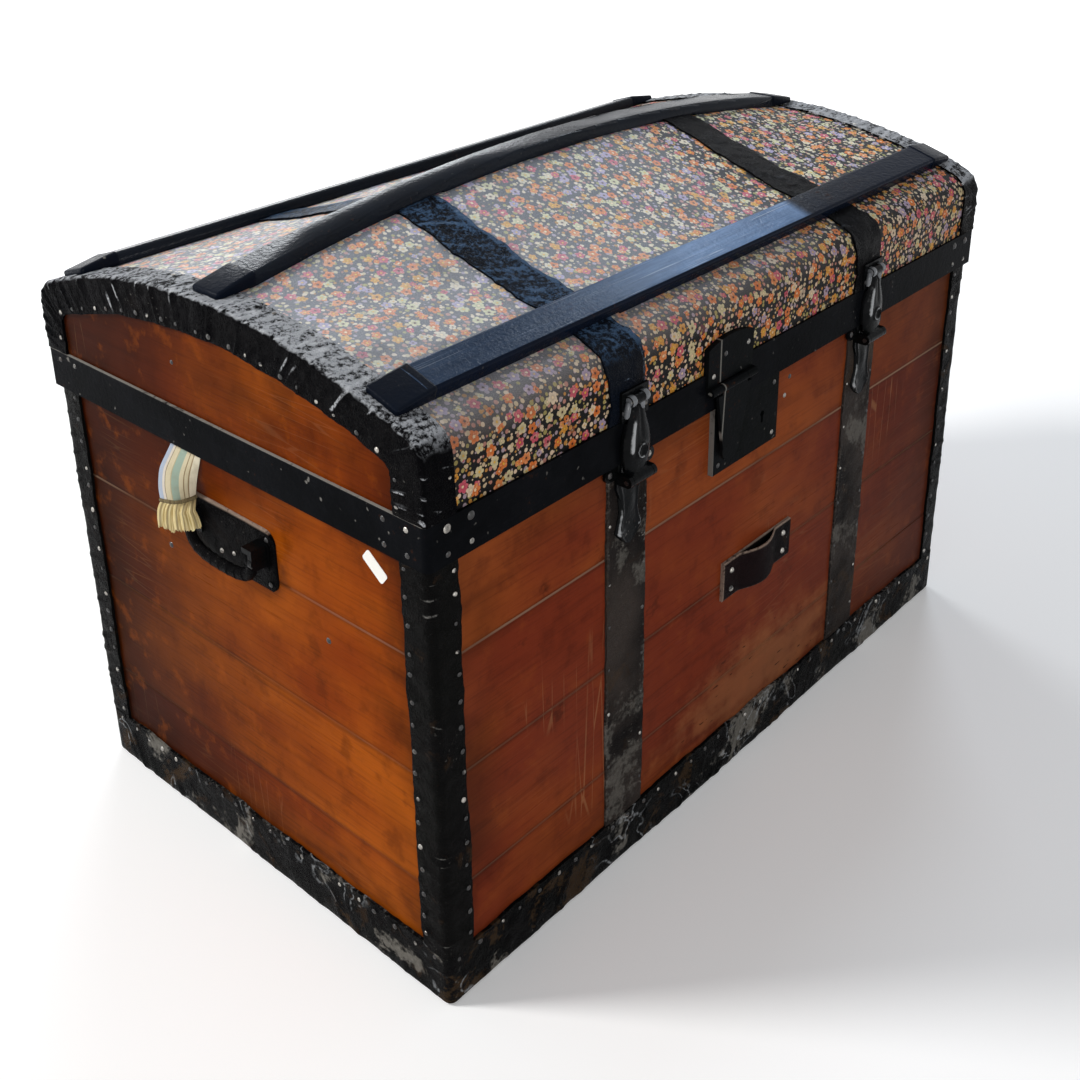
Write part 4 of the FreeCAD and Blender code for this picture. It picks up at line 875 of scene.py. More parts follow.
def makeBottom(name, axis, sign, seed):
    # axis X is the front or the back, axis Y an end; sign the side it lies on
    longHalf, farHalf = (bottom["x"], bottom["y"]) if axis == "X" else (bottom["y"], bottom["x"])
    straight = np.linspace(-1, 1, int(2 * (longHalf - bottom["round"]) / bottom["pitch"]))
    turns = np.linspace(math.pi / 4, 0, 5)[:-1]
    e = bottom["edge"]
    # inset, height and lean from the top edge down, round the edge and under the floor
    profile = [(0.0, z, 0.0) for z in np.linspace(bottom["height"], e, 13)]
    profile += [(e - e * math.cos(a), e - e * math.sin(a), a) for a in np.linspace(0, math.pi / 2, 5)[1:]]
    profile += [(d, 0.0, math.pi / 2) for d in np.linspace(e, bottom["tuck"], 9)[1:]]
    rows, outs = [], []
    for inset, z, lean in profile:
        r = max(bottom["round"] - inset, bottom["tightest"])
        run, far = longHalf - inset - r, farHalf - inset - r
        line = [(-run - r * math.sin(a), far + r * math.cos(a), -math.sin(a), math.cos(a)) for a in turns]
        line += [(t * run, far + r, 0.0, 1.0) for t in straight]
        line = np.array(line + [(-x, y, -outX, outY) for x, y, outX, outY in line[:len(turns)][::-1]])
        rows.append(np.stack([line[:, 0], line[:, 1], np.full(len(line), z)], -1))
        flat = line[:, 2:] * math.cos(lean)
        outs.append(np.stack([flat[:, 0], flat[:, 1], np.full(len(line), -math.sin(lean))], -1))
    grid = np.stack(rows, 1)
    out = np.stack(outs, 1)
    cols = grid.shape[1]
    column = np.arange(cols)
    u = np.repeat(grid[:, :1, 0], cols, 1)
    v = np.repeat(np.linspace(0, bottom["girth"], cols)[None, :], len(grid), 0)
    ends = np.clip((longHalf - 0.004 - np.abs(u)) / 0.02, 0, 1)
    lean = u + 0.01 * ripple(u / 0.07 + 30, v / 0.02, seed) + 0.25 * v
    fold = creaseLine(lean, bottom["foldEvery"], 0.005, seed + 1)
    broad = ripple(u / 0.06 + 50, v / 0.03, seed + 2)
    weight = np.interp(column, [0, 6, 13, 18, cols - 1], [0.5, 0.9, 1.0, 0.2, 0.0])[None, :]
    height = fold * weight * bottom["fold"] * np.clip(0.7 + broad, 0.1, 1.5)
    height += (0.0006 * broad + 0.0004 * ripple(u / 0.013 + 60, v / 0.010, seed + 3)) * weight
    grid += out * (height * ends)[..., None]
    edge = u[:, 0]
    wide, fine = ripple(edge / 0.03 + 70, 0.0, seed + 5), ripple(edge / 0.007 + 70, 0.0, seed + 6)
    wander = 0.0014 * wide + 0.0006 * fine
    grid[:, 0, 2] += wander * ends[:, 0]
    crest = np.clip(fold * weight * ends, 0, 1)
    crest = np.maximum(crest, np.interp(column, [11, 14, 18], [0.0, 0.9, 0.2])[None, :] * (0.6 + 0.4 * broad))
    crest[:, 0] = np.maximum(crest[:, 0], 0.75)
    if axis == "Y":
        grid, out = grid[..., [1, 0, 2]], out[..., [1, 0, 2]]
    far = 1 if axis == "X" else 0
    grid[..., far] *= sign
    out[..., far] *= sign
    return sheetPiece(name, grid, out, bottom["thickness"] + height * ends, bottomLeather, crest)


bottomEnds = (("front", "X", -1), ("back", "X", 1), ("left", "Y", -1), ("right", "Y", 1))
for number, (end, axis, sign) in enumerate(bottomEnds):
    strip = makeBottom("bottom_leather_" + end, axis, sign, 110 + 9 * number)
    settle(strip, "chest", "black_leather", "bottom_binding_" + end)
print("bottom bindings made")

straps = {
    "places": (-0.184, 0.191),
    "width": 0.052,
    "thickness": 0.002,
    "low": 0.050,
    "high": 0.4381,
    "y": 0.243,
    "fold": 0.0007,
    "columns": 19,
    "lidWidth": 0.045,
    "lidShift": (-0.005, -0.0095),  # along X, low on the front and on top
    "lidShiftZ": (0.46, 0.53),
}


def strapCreases(u, v, seed):
    lean = u + 0.012 * ripple(u / 0.05, v / 0.02, seed) + 0.35 * v
    fold = creaseLine(lean, 0.028, 0.0045, seed + 1)
    other = creaseLine(v + 0.25 * ripple(u / 0.09, v * 0, seed + 2) * 0.02, 0.017, 0.0026, seed + 3)
    keep = np.clip(0.5 + ripple(u / 0.05, v / 0.025, seed + 4), 0, 1)
    height = (fold + 0.5 * other) * keep * straps["fold"] + 0.0003 * ripple(u / 0.011, v / 0.009, seed + 5)
    return height, np.clip(fold * keep, 0, 1)


def strapEdges(run, seed, wide, fine):
    # column, side and wander of both cut edges; wide and fine are (height, length) of the waves
    for column, way in ((0, -1), (straps["columns"] - 1, 1)):
        wander = wide[0] * ripple(run / wide[1], 0.0, seed + column)
        yield column, way * (wander + fine[0] * ripple(run / fine[1], 0.0, seed + fine[2] + column))


across = np.linspace(-0.5, 0.5, straps["columns"])


def makeWallStraps(name, node, sideY, seed):
    for number, x in enumerate(straps["places"]):
        zs = np.arange(straps["low"], straps["high"], 0.002)
        u, v = np.meshgrid(zs, across * straps["width"], indexing="ij")
        height, crest = strapCreases(u, v + 0.1, seed + 10 * number)
        grid = np.stack([x + v, sideY * (straps["y"] + height), u], -1)
        for column, wander in strapEdges(zs, seed, (0.0009, 0.03), (0.0004, 0.008, 30)):
            grid[:, column, 0] += wander
        crest[:, :2] = np.maximum(crest[:, :2], 0.62)
        crest[:, -2:] = np.maximum(crest[:, -2:], 0.5)
        out = np.zeros_like(grid)
        out[..., 1] = sideY
        thick = straps["thickness"] * 0.95 + height
        piece = sheetPiece(name + "_" + str(number + 1), grid, out, thick, strapLeather, crest)
        settle(piece, "chest", "black_leather", node)


def makeLidStraps():
    section, facing, run = lidSection(lidForm["bandTop"], 0.0022)
    for number, (x, finish) in enumerate(zip(straps["places"], (lidLeather, lidLeatherRight))):
        u, v = np.meshgrid(run, across * straps["lidWidth"], indexing="ij")
        height, crest = strapCreases(u, v + 0.2, 300 + 10 * number)
        xs = x + v + np.interp(section[:, 1], straps["lidShiftZ"], straps["lidShift"])[:, None]
        for column, wander in strapEdges(run, 340, (0.0022, 0.021), (0.0012, 0.006, 10)):
            xs[:, column] += wander
        grid, out = overLid(section, facing, xs, straps["thickness"] + height)
        crest[:, -2:] = np.maximum(crest[:, -2:], 0.55)
        thick = straps["thickness"] * 0.95 + height
        piece = sheetPiece("lid_strap_leather_" + str(number + 1), grid, out, thick, finish, crest)
        settle(piece, "lid", "black_leather", "lid_straps")


makeWallStraps("front_strap_leather", "front_straps", -1, 210)
makeWallStraps("back_strap_leather", "back_straps", 1, 250)
makeLidStraps()
print("straps made")


def ringed(rings, around):
    # points and faces of a closed form through rings of points
    faces = []
    for first in range(0, (len(rings) - 1) * around, around):
        for i in range(around):
            j = (i + 1) % around
            faces.append((first + i, first + j, first + around + j, first + around + i))
    last = (len(rings) - 1) * around
    faces += [tuple(range(around))[::-1], tuple(range(last, last + around))]
    return [point for ring in rings for point in ring], faces


def lathed(profile, start, way, around=18):
    # a turned form: profile is (distance along way, radius)
    start, way = np.asarray(start, float), np.asarray(way, float)
    side = np.cross(way, (0.0, 0.0, 1.0) if abs(way[2]) < 0.9 else (0.0, 1.0, 0.0))
    side /= np.linalg.norm(side)
    other = np.cross(way, side)
    spokes = [side * math.cos(a) + other * math.sin(a) for a in np.arange(around) * 2 * math.pi / around]
    rings = [[start + way * along + spoke * radius for spoke in spokes] for along, radius in profile]
    return ringed(rings, around)


def tubeForm(path, across, high, deep, around=14):
    # a tube of oval section along a path that lies square to across
    across = np.asarray(across, float)
    ups = np.cross(unit(np.gradient(path, axis=0)), across)
    angles = np.arange(around) * 2 * math.pi / around
    spokes = [(high * math.cos(a), across * deep * math.sin(a)) for a in angles]
    return ringed([[p + up * rise + side for rise, side in spokes] for p, up in zip(path, ups)], around)


def solidPiece(name, forms, finish):
    # one piece from several (points, faces) forms
    points, faces = [], []
    for more, sides in forms:
        start = len(points)
        points += [tuple(map(float, p)) for p in more]
        faces += [tuple(i + start for i in side) for side in sides]
    mesh = bpy.data.meshes.new(name)
    mesh.from_pydata(points, [], faces)
    shape = bmesh.new()
    shape.from_mesh(mesh)
    bmesh.ops.recalc_face_normals(shape, faces=shape.faces)
    shape.to_mesh(mesh)
    shape.free()
    return shown(name, mesh, finish, 40)


def level(z, places, values):
    return float(np.interp(z, places, values))


def bump(away, width):
    return math.exp(-(away / width) ** 2)


def castRelief(name, centre, back, zs, half, height, worn, deep=None, cols=29):
    # a cast piece with a flat back in front of the box: half gives its half width at a height,
    # and height its thickness
    # worn gives where a highlight is painted on the piece, as bare metal
    over = np.linspace(-1, 1, cols)
    over = np.sign(over) * np.abs(over) ** 0.75
    grid = np.empty((len(zs), cols, 3))
    thick = np.empty((len(zs), cols))
    crest = np.empty((len(zs), cols))
    for i, z in enumerate(zs):
        width = half(z)
        thick[i] = [max(height(u, u * width, z), 0.0006) for u in over]
        crest[i] = [worn(u, u * width, z) for u in over]
        grid[i, :, 0] = centre + over * width
        grid[i, :, 1] = back - thick[i]
        grid[i, :, 2] = z
    out = np.zeros_like(grid)
    out[..., 1] = -1
    if deep:
        thick += np.array([deep(z) for z in zs])[:, None]
    return sheetPiece(name, grid, out, thick, castIron, crest)


hasp = {
    "axisY": -0.2555,
    "axisZ": 0.404,
    "back": -0.2508,
    "barrel": 0.005,
    "thick": 0.0065,
    "bossAt": (0.001, 0.4275),  # across and up
    "boss": 0.0058,
    "levels": [0.3992, 0.404, 0.409, 0.414, 0.422, 0.432, 0.442, 0.450, 0.457, 0.4635, 0.4669],
    "widths": [0.0120, 0.0124, 0.0124, 0.0146, 0.0166, 0.0172, 0.0158, 0.0128, 0.0102, 0.0090, 0.0058],
    "hollow": (0.4195, 0.4535, 0.0022),  # the lever's back reaches down to the band between these heights
    "plateBack": -0.2432,
    "plateTop": 0.417,
    "plateLow": 0.338,
    "plateLevels": [0.338, 0.341, 0.347, 0.352, 0.358, 0.368, 0.385, 0.396, 0.417],
    "plateWidths": [0.0025, 0.0075, 0.0135, 0.0170, 0.0150, 0.0118, 0.0132, 0.0170, 0.0170],
    "dome": (0.379, 0.006, 0.011),  # height of its middle, width and length
    "scroll": (0.0105, 0.352),
    "roll": (-0.25225, 0.4725),
    "bumps": [
        (-0.0118, 0.0030), (-0.0112, 0.0044), (-0.0095, 0.0051), (-0.0070, 0.0051), (-0.0052, 0.0044),
        (-0.0048, 0.0030),
    ],
    "fork": [(-0.0020, 0.0018), (-0.0010, 0.0024), (0.004, 0.0027), (0.009, 0.0024), (0.0110, 0.0012)],
}


def makeHasp(side, x):
    def fromBoss(dx, z):
        return math.hypot(dx - hasp["bossAt"][0], z - hasp["bossAt"][1])

    def fromScroll(dx, z):
        return math.hypot(abs(dx) - hasp["scroll"][0], z - hasp["scroll"][1])

    def rib(u, z):
        return bump(u + 0.66, 0.16) * level(z, [0.424, 0.431, 0.453, 0.460], [0, 1, 1, 0])

    # where a highlight is painted: the rib and the ring round the boss
    def leverGlint(u, dx, z):
        ring = bump(fromBoss(dx, z) - hasp["boss"], 0.0012) * (1 if dx < 0.003 else 0.3)
        return rib(u, z) * 0.95 + 0.8 * ring

    def leverHeight(u, dx, z):
        lift = z - hasp["axisZ"]
        body = hasp["thick"] * max(1 - abs(u) ** 2.6, 0) ** 0.5 * (0.80 + 0.20 * math.sin(lift * 60))
        away = fromBoss(dx, z)
        ring = 0.0016 * bump(away - hasp["boss"], 0.0014) - 0.0014 * bump(away, 0.0035)
        groove = -0.0012 * bump(u - 0.05, 0.09) * level(z, [0.436, 0.442, 0.462], [0, 1, 1])
        face = body + 0.0018 * rib(u, z) + ring + groove
        if abs(lift) < hasp["barrel"]:
            return max(face, hasp["back"] - hasp["axisY"] + math.sqrt(hasp["barrel"] ** 2 - lift ** 2))
        return face * level(z, [0.463, 0.467], [1, 0.6])

    def flank(z):
        low, high, deep = hasp["hollow"]
        return deep if low < z < high else 0.0

    zs = np.concatenate([np.linspace(0.3991, 0.4089, 12), np.linspace(0.4095, 0.4669, 58)])
    lever = castRelief("lever_" + side, x, hasp["back"], zs,
                       lambda z: level(z, hasp["levels"], hasp["widths"]), leverHeight, leverGlint, flank)
    settle(lever, side + "_lever", "cast_black", "hasp_lever_" + side)

    def plateHeight(u, dx, z):
        flat = 0.0026 * max(1 - abs(u) ** 6, 0) ** 0.5
        middle, wide, long = hasp["dome"]
        raised = 0.0012 * bump(abs(u) - 0.78, 0.12) + 0.0014 * bump(dx, wide) * bump(z - middle, long)
        raised += 0.0016 * bump(fromScroll(dx, z), 0.0035)
        return flat + raised * level(z, [0.338, 0.345], [0.2, 1])

    # where a highlight is painted: the edges and the scroll
    def plateGlint(u, dx, z):
        edge = bump(abs(u) - 0.86, 0.09) * level(z, [0.344, 0.350, 0.372, 0.378], [0, 1, 1, 0.25])
        return 0.75 * edge + 0.6 * bump(fromScroll(dx, z), 0.0028)

    zs = np.linspace(hasp["plateLow"], hasp["plateTop"], 64)
    leaf = castRelief("hasp_leaf_" + side, x, hasp["plateBack"], zs,
                      lambda z: level(z, hasp["plateLevels"], hasp["plateWidths"]), plateHeight, plateGlint)
    settle(leaf, "chest", "cast_black")

    roll = (x, *hasp["roll"])
    forms = [lathed(hasp["bumps"], roll, (1, 0, 0))]
    forms.append(lathed([(-a, r) for a, r in hasp["bumps"][::-1]], roll, (1, 0, 0)))
    forms.append(lathed(hasp["fork"], (x - 0.0115, -0.2520, 0.4700), (-0.34, -0.08, -0.94)))
    short = [(a * 0.7, r) for a, r in hasp["fork"]]
    forms.append(lathed(short, (x + 0.0045, -0.2528, 0.4695), (-0.05, -0.10, -0.99)))
    settle(solidPiece("catch_horns_" + side, forms, rubbedGlintIron), "lid", "cast_black")


for side, x in zip(("left", "right"), straps["places"]):
    makeHasp(side, x)
print("hasps cast")

handle = {
    "x": 0.407,
    "y": -0.004,
    "z": 0.347,
    "length": 0.118,
    "height": 0.058,
    "thick": 0.003,
    "corner": 0.012,
    "axisX": 0.4195,
    "axisZ": 0.352,
    "span": 0.084,
    "sag": 0.023,
    "stand": 0.0006,  # the grip's middle line in front of the pivot's axis
    "eye": 0.0065,
    "eyeWidth": 0.0070,
    "gripHigh": 0.0058,
    "gripDeep": 0.0044,
    "band": [(-0.0012, 0.93), (-0.0006, 1.03), (0.0006, 1.03), (0.0012, 0.93)],  # along, share of gripHigh
    "studX": 0.4096,
    "studs": [(0.0095, 0.3325, 0.0024), (-0.0078, 0.3365, 0.0022)],  # y, z and radius
}
studForm = [(0.0, 1.0), (0.25, 0.96), (0.5, 0.78), (0.72, 0.45), (0.82, 0.12)]


def slabGrid(length, height, corner, rows=60, cols=24):
    # a rounded slab's outline filled with a grid: along, up, and the share from its middle to its edge
    along = (-0.5 * np.cos(np.linspace(0, math.pi, rows))) * length * 0.9995
    up = np.sin(np.linspace(-math.pi / 2, math.pi / 2, cols))
    inset = np.clip(corner - (length / 2 - np.abs(along)), 0, corner)
    half = height / 2 - corner + np.sqrt(np.maximum(corner ** 2 - inset ** 2, 1e-10))
    a = np.repeat(along[:, None], cols, 1)
    b = up[None, :] * half[:, None]
    return a, b, np.maximum(np.abs(a) / (length / 2), np.abs(b) / (height / 2))


def studPiece(name, places, way):
    # places are (x, y, z, radius)
    forms = [lathed([(a * r, k * r) for a, k in studForm], (x, y, z), way, 16) for x, y, z, r in places]
    settle(solidPiece(name, forms, brightSteel), "chest", "nail_steel")


def makeHandle(side, sign):
    a, b, edge = slabGrid(handle["length"], handle["height"], handle["corner"])
    worn = handle["thick"] * np.clip(1 - edge ** 14, 0, 1) ** 0.5 * 0.9 + 0.0003
    broad, grit = ripple(a / 0.02 + 40, b / 0.02 + 40, 400), ripple(a / 0.006 + 60, b / 0.006 + 60, 401)
    thick = worn + (0.0004 * broad + 0.0002 * grit) * (edge < 0.97)
    grid = np.stack([sign * (handle["x"] + thick), handle["y"] + a, handle["z"] + b], -1)
    out = np.zeros_like(grid)
    out[..., 0] = sign
    crest = np.clip((edge - 0.90) / 0.08, 0, 0.8)
    plate = sheetPiece("handle_leather_" + side, grid, out, np.maximum(thick, 0.0003), plateLeather, crest)
    settle(plate, "chest", "black_leather", side + "_handle_plate")

    # a sagging grip between two eyes, bound with thin bands
    half = handle["span"] / 2
    x = sign * (handle["axisX"] + handle["stand"])
    turns = np.linspace(-math.pi / 2, math.pi / 2, 56) * 0.985
    across = np.sign(turns) * np.abs(np.sin(turns)) ** 0.72 * half
    low = np.cos(turns) ** 0.62 * handle["sag"]
    path = np.stack([np.full(len(turns), x), handle["y"] + across, handle["axisZ"] - low], -1)
    steps = distances(path)
    even = np.linspace(0, steps[-1], 60)
    path = np.stack([np.interp(even, steps, path[:, i]) for i in range(3)], -1)
    high = handle["gripHigh"]
    forms = [tubeForm(path, (1, 0, 0), high, handle["gripDeep"])]
    w, e = handle["eyeWidth"] / 2, handle["eye"]
    ring = [(-w, e * 0.82), (-w * 0.85, e * 0.95), (-w * 0.5, e)]
    ring += [(-along, radius) for along, radius in ring[::-1]]
    for end in (-1, 1):
        eye = (sign * handle["axisX"], handle["y"] + end * half, handle["axisZ"])
        forms.append(lathed(ring, eye, (0, 1, 0)))
    for at in range(12, 49, 6):
        band = [(along, high * share) for along, share in handle["band"]]
        points, faces = lathed(band, path[at], unit(path[at + 1] - path[at - 1]), 14)
        forms.append(([(x + (q[0] - x) * 0.80, q[1], q[2]) for q in points], faces))
    grip = solidPiece("grip_leather_" + side, forms, plateLeather)
    settle(grip, side + "_grip", "black_leather", side + "_handle_grip")


for side, sign in (("left", -1), ("right", 1)):
    makeHandle(side, sign)
    spots = [(sign * handle["studX"], y, z, r) for y, z, r in handle["studs"]]
    studPiece("handle_studs_" + side, spots, (sign, 0, 0))
print("end handles made")

loop = {
    "x": 0.018,
    "z": 0.2245,
    "length": 0.114,
    "height": 0.041,
    "wall": -0.241,
    "backing": 0.0015,
    "strap": 0.002,
    "flat": 0.026,
    "bow": 0.009,
    "studs": (0.2135, 0.2335),
    "stud": 0.0031,
    "studSunk": 0.0004,
}


def makeLoop():
    xs = np.linspace(-0.5, 0.5, 90) * loop["length"]
    up = np.sin(np.linspace(-math.pi / 2, math.pi / 2, 16)) * loop["height"] / 2
    a, b = np.meshgrid(xs, up, indexing="ij")
    edge = np.abs(b) / (loop["height"] / 2)
    soft = 0.0003 * ripple(a / 0.015 + 40, b / 0.015 + 40, 500)
    share = np.clip(np.abs(a) / (loop["length"] / 2 - loop["flat"]), 0, 1)
    bow = loop["bow"] * (1 - share ** 2) ** 1.3
    for kind, low, full, lift in (
        ("backing", 0.0, loop["backing"], np.zeros_like(a)),
        ("strap", loop["backing"], loop["strap"], bow),
    ):
        thick = full * (0.55 + 0.45 * np.clip(1 - edge ** 8, 0, 1) ** 0.5)
        y = loop["wall"] - low - lift - thick - soft * (edge < 0.9)
        slope = np.gradient(lift, axis=0) / np.maximum(np.gradient(a, axis=0), 1e-9)
        out = unit(np.stack([slope, -np.ones_like(a), np.zeros_like(a)], -1))
        grid = np.stack([loop["x"] + a, y, loop["z"] + b], -1)
        crest = np.clip((edge - 0.86) / 0.1, 0, 0.9)
        piece = sheetPiece("loop_" + kind + "_leather", grid, out, thick, loopLeather, crest)
        settle(piece, "chest", "black_leather", "front_loop_" + kind)
    y = loop["wall"] - loop["backing"] - loop["strap"] + loop["studSunk"]
    far = (loop["length"] - loop["flat"]) / 2
    spots = [(loop["x"] + side * far, y, z, loop["stud"]) for side in (-1, 1) for z in loop["studs"]]
    studPiece("loop_studs", spots, (0, -1, 0))


makeLoop()
print("front loop made")

tapeForm = {
    "thickness": 0.0005,
    "width": 0.038,
    # height, then x and y of the back edge and of the front edge
    "stations": [
        (0.3850, -0.3934, 0.0650, -0.3934, 0.0270),
        (0.4385, -0.3934, 0.0650, -0.3934, 0.0270),
        (0.4405, -0.3955, 0.0650, -0.3955, 0.0270),
        (0.4405, -0.4062, 0.0655, -0.4062, 0.0272),
        (0.4380, -0.4079, 0.0658, -0.4079, 0.0272),
        (0.4180, -0.4080, 0.0668, -0.4080, 0.0272),
        (0.4080, -0.4130, 0.0690, -0.4085, 0.0300),
        (0.3960, -0.4240, 0.0680, -0.4095, 0.0335),
        (0.3850, -0.4320, 0.0600, -0.4108, 0.0355),
        (0.3760, -0.4350, 0.0540, -0.4120, 0.0360),
    ],
    "bulge": [0, 0, 0, 0, 0, 0, 0.0020, 0.0045, 0.0065, 0.0070],
    "stripes": [
        ("a9b4c6", 0.0), ("d9cfc0", 0.13), ("8f7d64", 0.20), ("d3c6a4", 0.225), ("b3a684", 0.37),
        ("94a898", 0.395),
        ("d3c6a4", 0.60), ("8c7654", 0.70), ("d3c6a4", 0.73), ("927b57", 0.81), ("e4dac0", 0.84),
    ],
    "hemWidths": [0.0004, 0.0012, 0.0016, 0.0016, 0.0014, 0.0010, 0.0003],
    "hemZ": (0.0012, -0.0026),
    "fringe": 0.030,
    "fringeEnds": [
        (-0.4360, 0.0590, 0.3500), (-0.4335, 0.0500, 0.3485), (-0.4300, 0.0405, 0.3490),
        (-0.4278, 0.0325, 0.3510), (-0.4195, 0.0225, 0.3570),
    ],
    "pleats": 5,
}


def tapeFinish(name):
    material, flow, place = newFinish(name)
    u, v = flow.node("ShaderNodeTexCoord", out="UV").parts()[:2]
    stripe = flow.node("ShaderNodeValToRGB", {"stops": tapeForm["stripes"]}, {0: v / tapeForm["width"]})
    cord, weft = v.wave(900.0), u.wave(1100.0)
    grime = place.cloud(60.0, 3.0, 0.6)
    base = (weft * cord * 0.25).between(stripe, "6d5f44")
    base = (grime.step(0.45, 0.75) * 0.30).between(base, "8d7a55")
    height = (cord + weft * 0.6).relief(0.0003, 0.6)
    values = {"Base Color": base, "Roughness": 0.80 + grime * 0.1, "Normal": height, "Sheen Weight": 0.15}
    return close(material, flow, values)


def fringeFinish(name, light, dark):
    material, flow, place = newFinish(name)
    u, v = flow.node("ShaderNodeTexCoord", out="UV").parts()[:2]
    thread = flow.joined(v * 1400.0, u * 40.0).cloud(1.0, 2.0, 0.5)
    pleat = (v / tapeForm["width"] * tapeForm["pleats"] * 6.2832).sum("COSINE") * 0.5 + 0.5
    base = thread.step(0.35, 0.65).between(dark, light)
    base = (pleat.step(0.28, 0.02) * 0.65).between(base, "5b4a2c")
    relief = thread.relief(0.0006, 0.8)
    return close(material, flow, {"Base Color": base, "Roughness": 0.85 + thread * 0.1, "Normal": relief})


def makeTape():
    z, backX, backY, frontX, frontY = np.array(tapeForm["stations"]).T
    length = distances(np.stack([(backX + frontX) / 2, (backY + frontY) / 2, z], -1))
    run = np.linspace(0, length[-1], 110)

    def eased(values):
        rough = np.interp(run, length, values)
        after = rough[-1] + (rough[-1] - rough[-2]) * np.arange(1, 4)
        return np.convolve(np.concatenate([np.full(3, rough[0]), rough, after]), np.ones(7) / 7, mode="valid")

    back = np.stack([eased(backX), eased(backY), eased(z)], -1)
    front = np.stack([eased(frontX), eased(frontY), eased(z)], -1)
    cols = 26
    k = np.linspace(0, 1, cols)
    grid = back[:, None, :] * (1 - k)[None, :, None] + front[:, None, :] * k[None, :, None]
    chord = unit(front - back)
    outward = np.stack([chord[:, 1], -chord[:, 0], np.zeros(len(run))], -1)
    outward *= np.sign(-outward[:, :1] + 1e-9)
    u, v = np.meshgrid(run, k * tapeForm["width"], indexing="ij")
    bulge = eased(tapeForm["bulge"])[:, None] * (np.sin(math.pi * k) ** 0.8)[None, :]
    free = np.clip((run - length[5]) / 0.02, 0, 1)[:, None]
    grid += outward[:, None, :] * bulge[..., None]
    grid += outward[:, None, :] * (0.0006 * ripple(u / 0.02, v / 0.008, 600) * free)[..., None]
    out = unit(np.cross(np.gradient(grid, axis=0), np.gradient(grid, axis=1)))
    if out[-20, cols // 2, 0] > 0:
        out = -out
    uv = np.stack([u, v], -1)
    tape = sheetPiece("woven_tape", grid, out, tapeForm["thickness"], tapeFinish("WovenTape"), uv=uv)

    hemRow, hemFacing = grid[-1], out[-1]
    zs = np.linspace(*tapeForm["hemZ"], 7)
    hemSteps = zip(zs, tapeForm["hemWidths"])
    hemGrid = np.stack([hemRow + hemFacing * w + np.array((0, 0, z)) for z, w in hemSteps], 0)
    hemOut = np.repeat(hemFacing[None], len(zs), 0)
    stitched = 0.0003 * np.sin(k * math.pi * 44)[None, :, None]
    hemThread = fringeFinish("TapeHem", "8a7a55", "4d432c")
    hem = sheetPiece("tape_hem", hemGrid + hemOut * stitched, hemOut, 0.0016, hemThread)

    # the fringe fans out below the hem in pleats, and goes out over the cap's hood before it falls
    ends = np.array(tapeForm["fringeEnds"])
    kf = np.linspace(0, 1, 121)
    t = np.linspace(0, 1, 22)
    top = np.stack([np.interp(kf, k, hemRow[:, i]) for i in range(3)], -1) - np.array((0, 0, 0.0022))
    low = np.stack([np.interp(kf, np.linspace(0, 1, len(ends)), ends[:, i]) for i in range(3)], -1)
    paces = np.stack([np.clip(t / 0.30, 0, 1) ** 0.7, t ** 0.6, t], -1)
    fringe = top[None] + (low - top)[None] * paces[:, None, :]
    side = np.stack([np.interp(kf, k, hemFacing[:, i]) for i in range(3)], -1)
    wave = np.abs(np.sin(kf * math.pi * tapeForm["pleats"]))[None, :] ** 0.6
    ragged = (0.0016 * ripple(kf * 31, 0.0, 610) + 0.0012 * ripple(kf * 67, 0.0, 611))[None, :]
    belly = (np.sin(t * math.pi) * 0.0015 + t * 0.001)[:, None]
    fringe += side[None] * (0.0026 * wave * (0.45 + 0.55 * t[:, None]) + belly)[..., None]
    fringe[..., 2] += (ragged - 0.0018 * (1 - wave)) * t[:, None] ** 2
    uv = np.stack(np.meshgrid(t * tapeForm["fringe"], kf * tapeForm["width"], indexing="ij"), -1)
    threads = sheetPiece("tape_fringe", fringe, np.repeat(side[None], len(t), 0), 0.0011,
                         fringeFinish("FringeThread", "e3d3a2", "b39a5e"), uv=uv)
    for piece in (tape, hem, threads):
        settle(piece, "chest", "woven_tape")
    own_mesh(threads)
    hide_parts("tape_tail")


makeTape()
print("tape hung")

slatForm = {
    "edge": 0.0022,
    "tip": 0.0048,
    "middle": 0.022,  # half width that takes in the middle slat only
    "lift": 0.0031,
    "liftEnd": (0.4055, 0.04),  # where the lift is gone, and over what length it goes
    "liftFull": 0.366,
    "taper": 0.45,
    "taperRun": (0.368, 0.038),
    "inside": 0.372,  # the wood ends here, inside its cap
}


def closedHulls(shape):
    # every loose part of a shape becomes its convex hull
    bmesh.ops.remove_doubles(shape, verts=shape.verts, dist=1e-6)
    left, groups = set(shape.verts), []
    while left:
        group, todo = set(), [next(iter(left))]
        while todo:
            point = todo.pop()
            if point not in group:
                group.add(point)
                todo += [edge.other_vert(point) for edge in point.link_edges]
        left -= group
        groups.append([tuple(point.co) for point in group])
    shape.clear()
    for group in groups:
        made = bmesh.ops.convex_hull(shape, input=[shape.verts.new(place) for place in group])
        spare = set(made["geom_interior"] + made["geom_unused"])
        spare = [part for part in spare if isinstance(part, bmesh.types.BMVert)]
        bmesh.ops.delete(shape, geom=spare, context="VERTS")


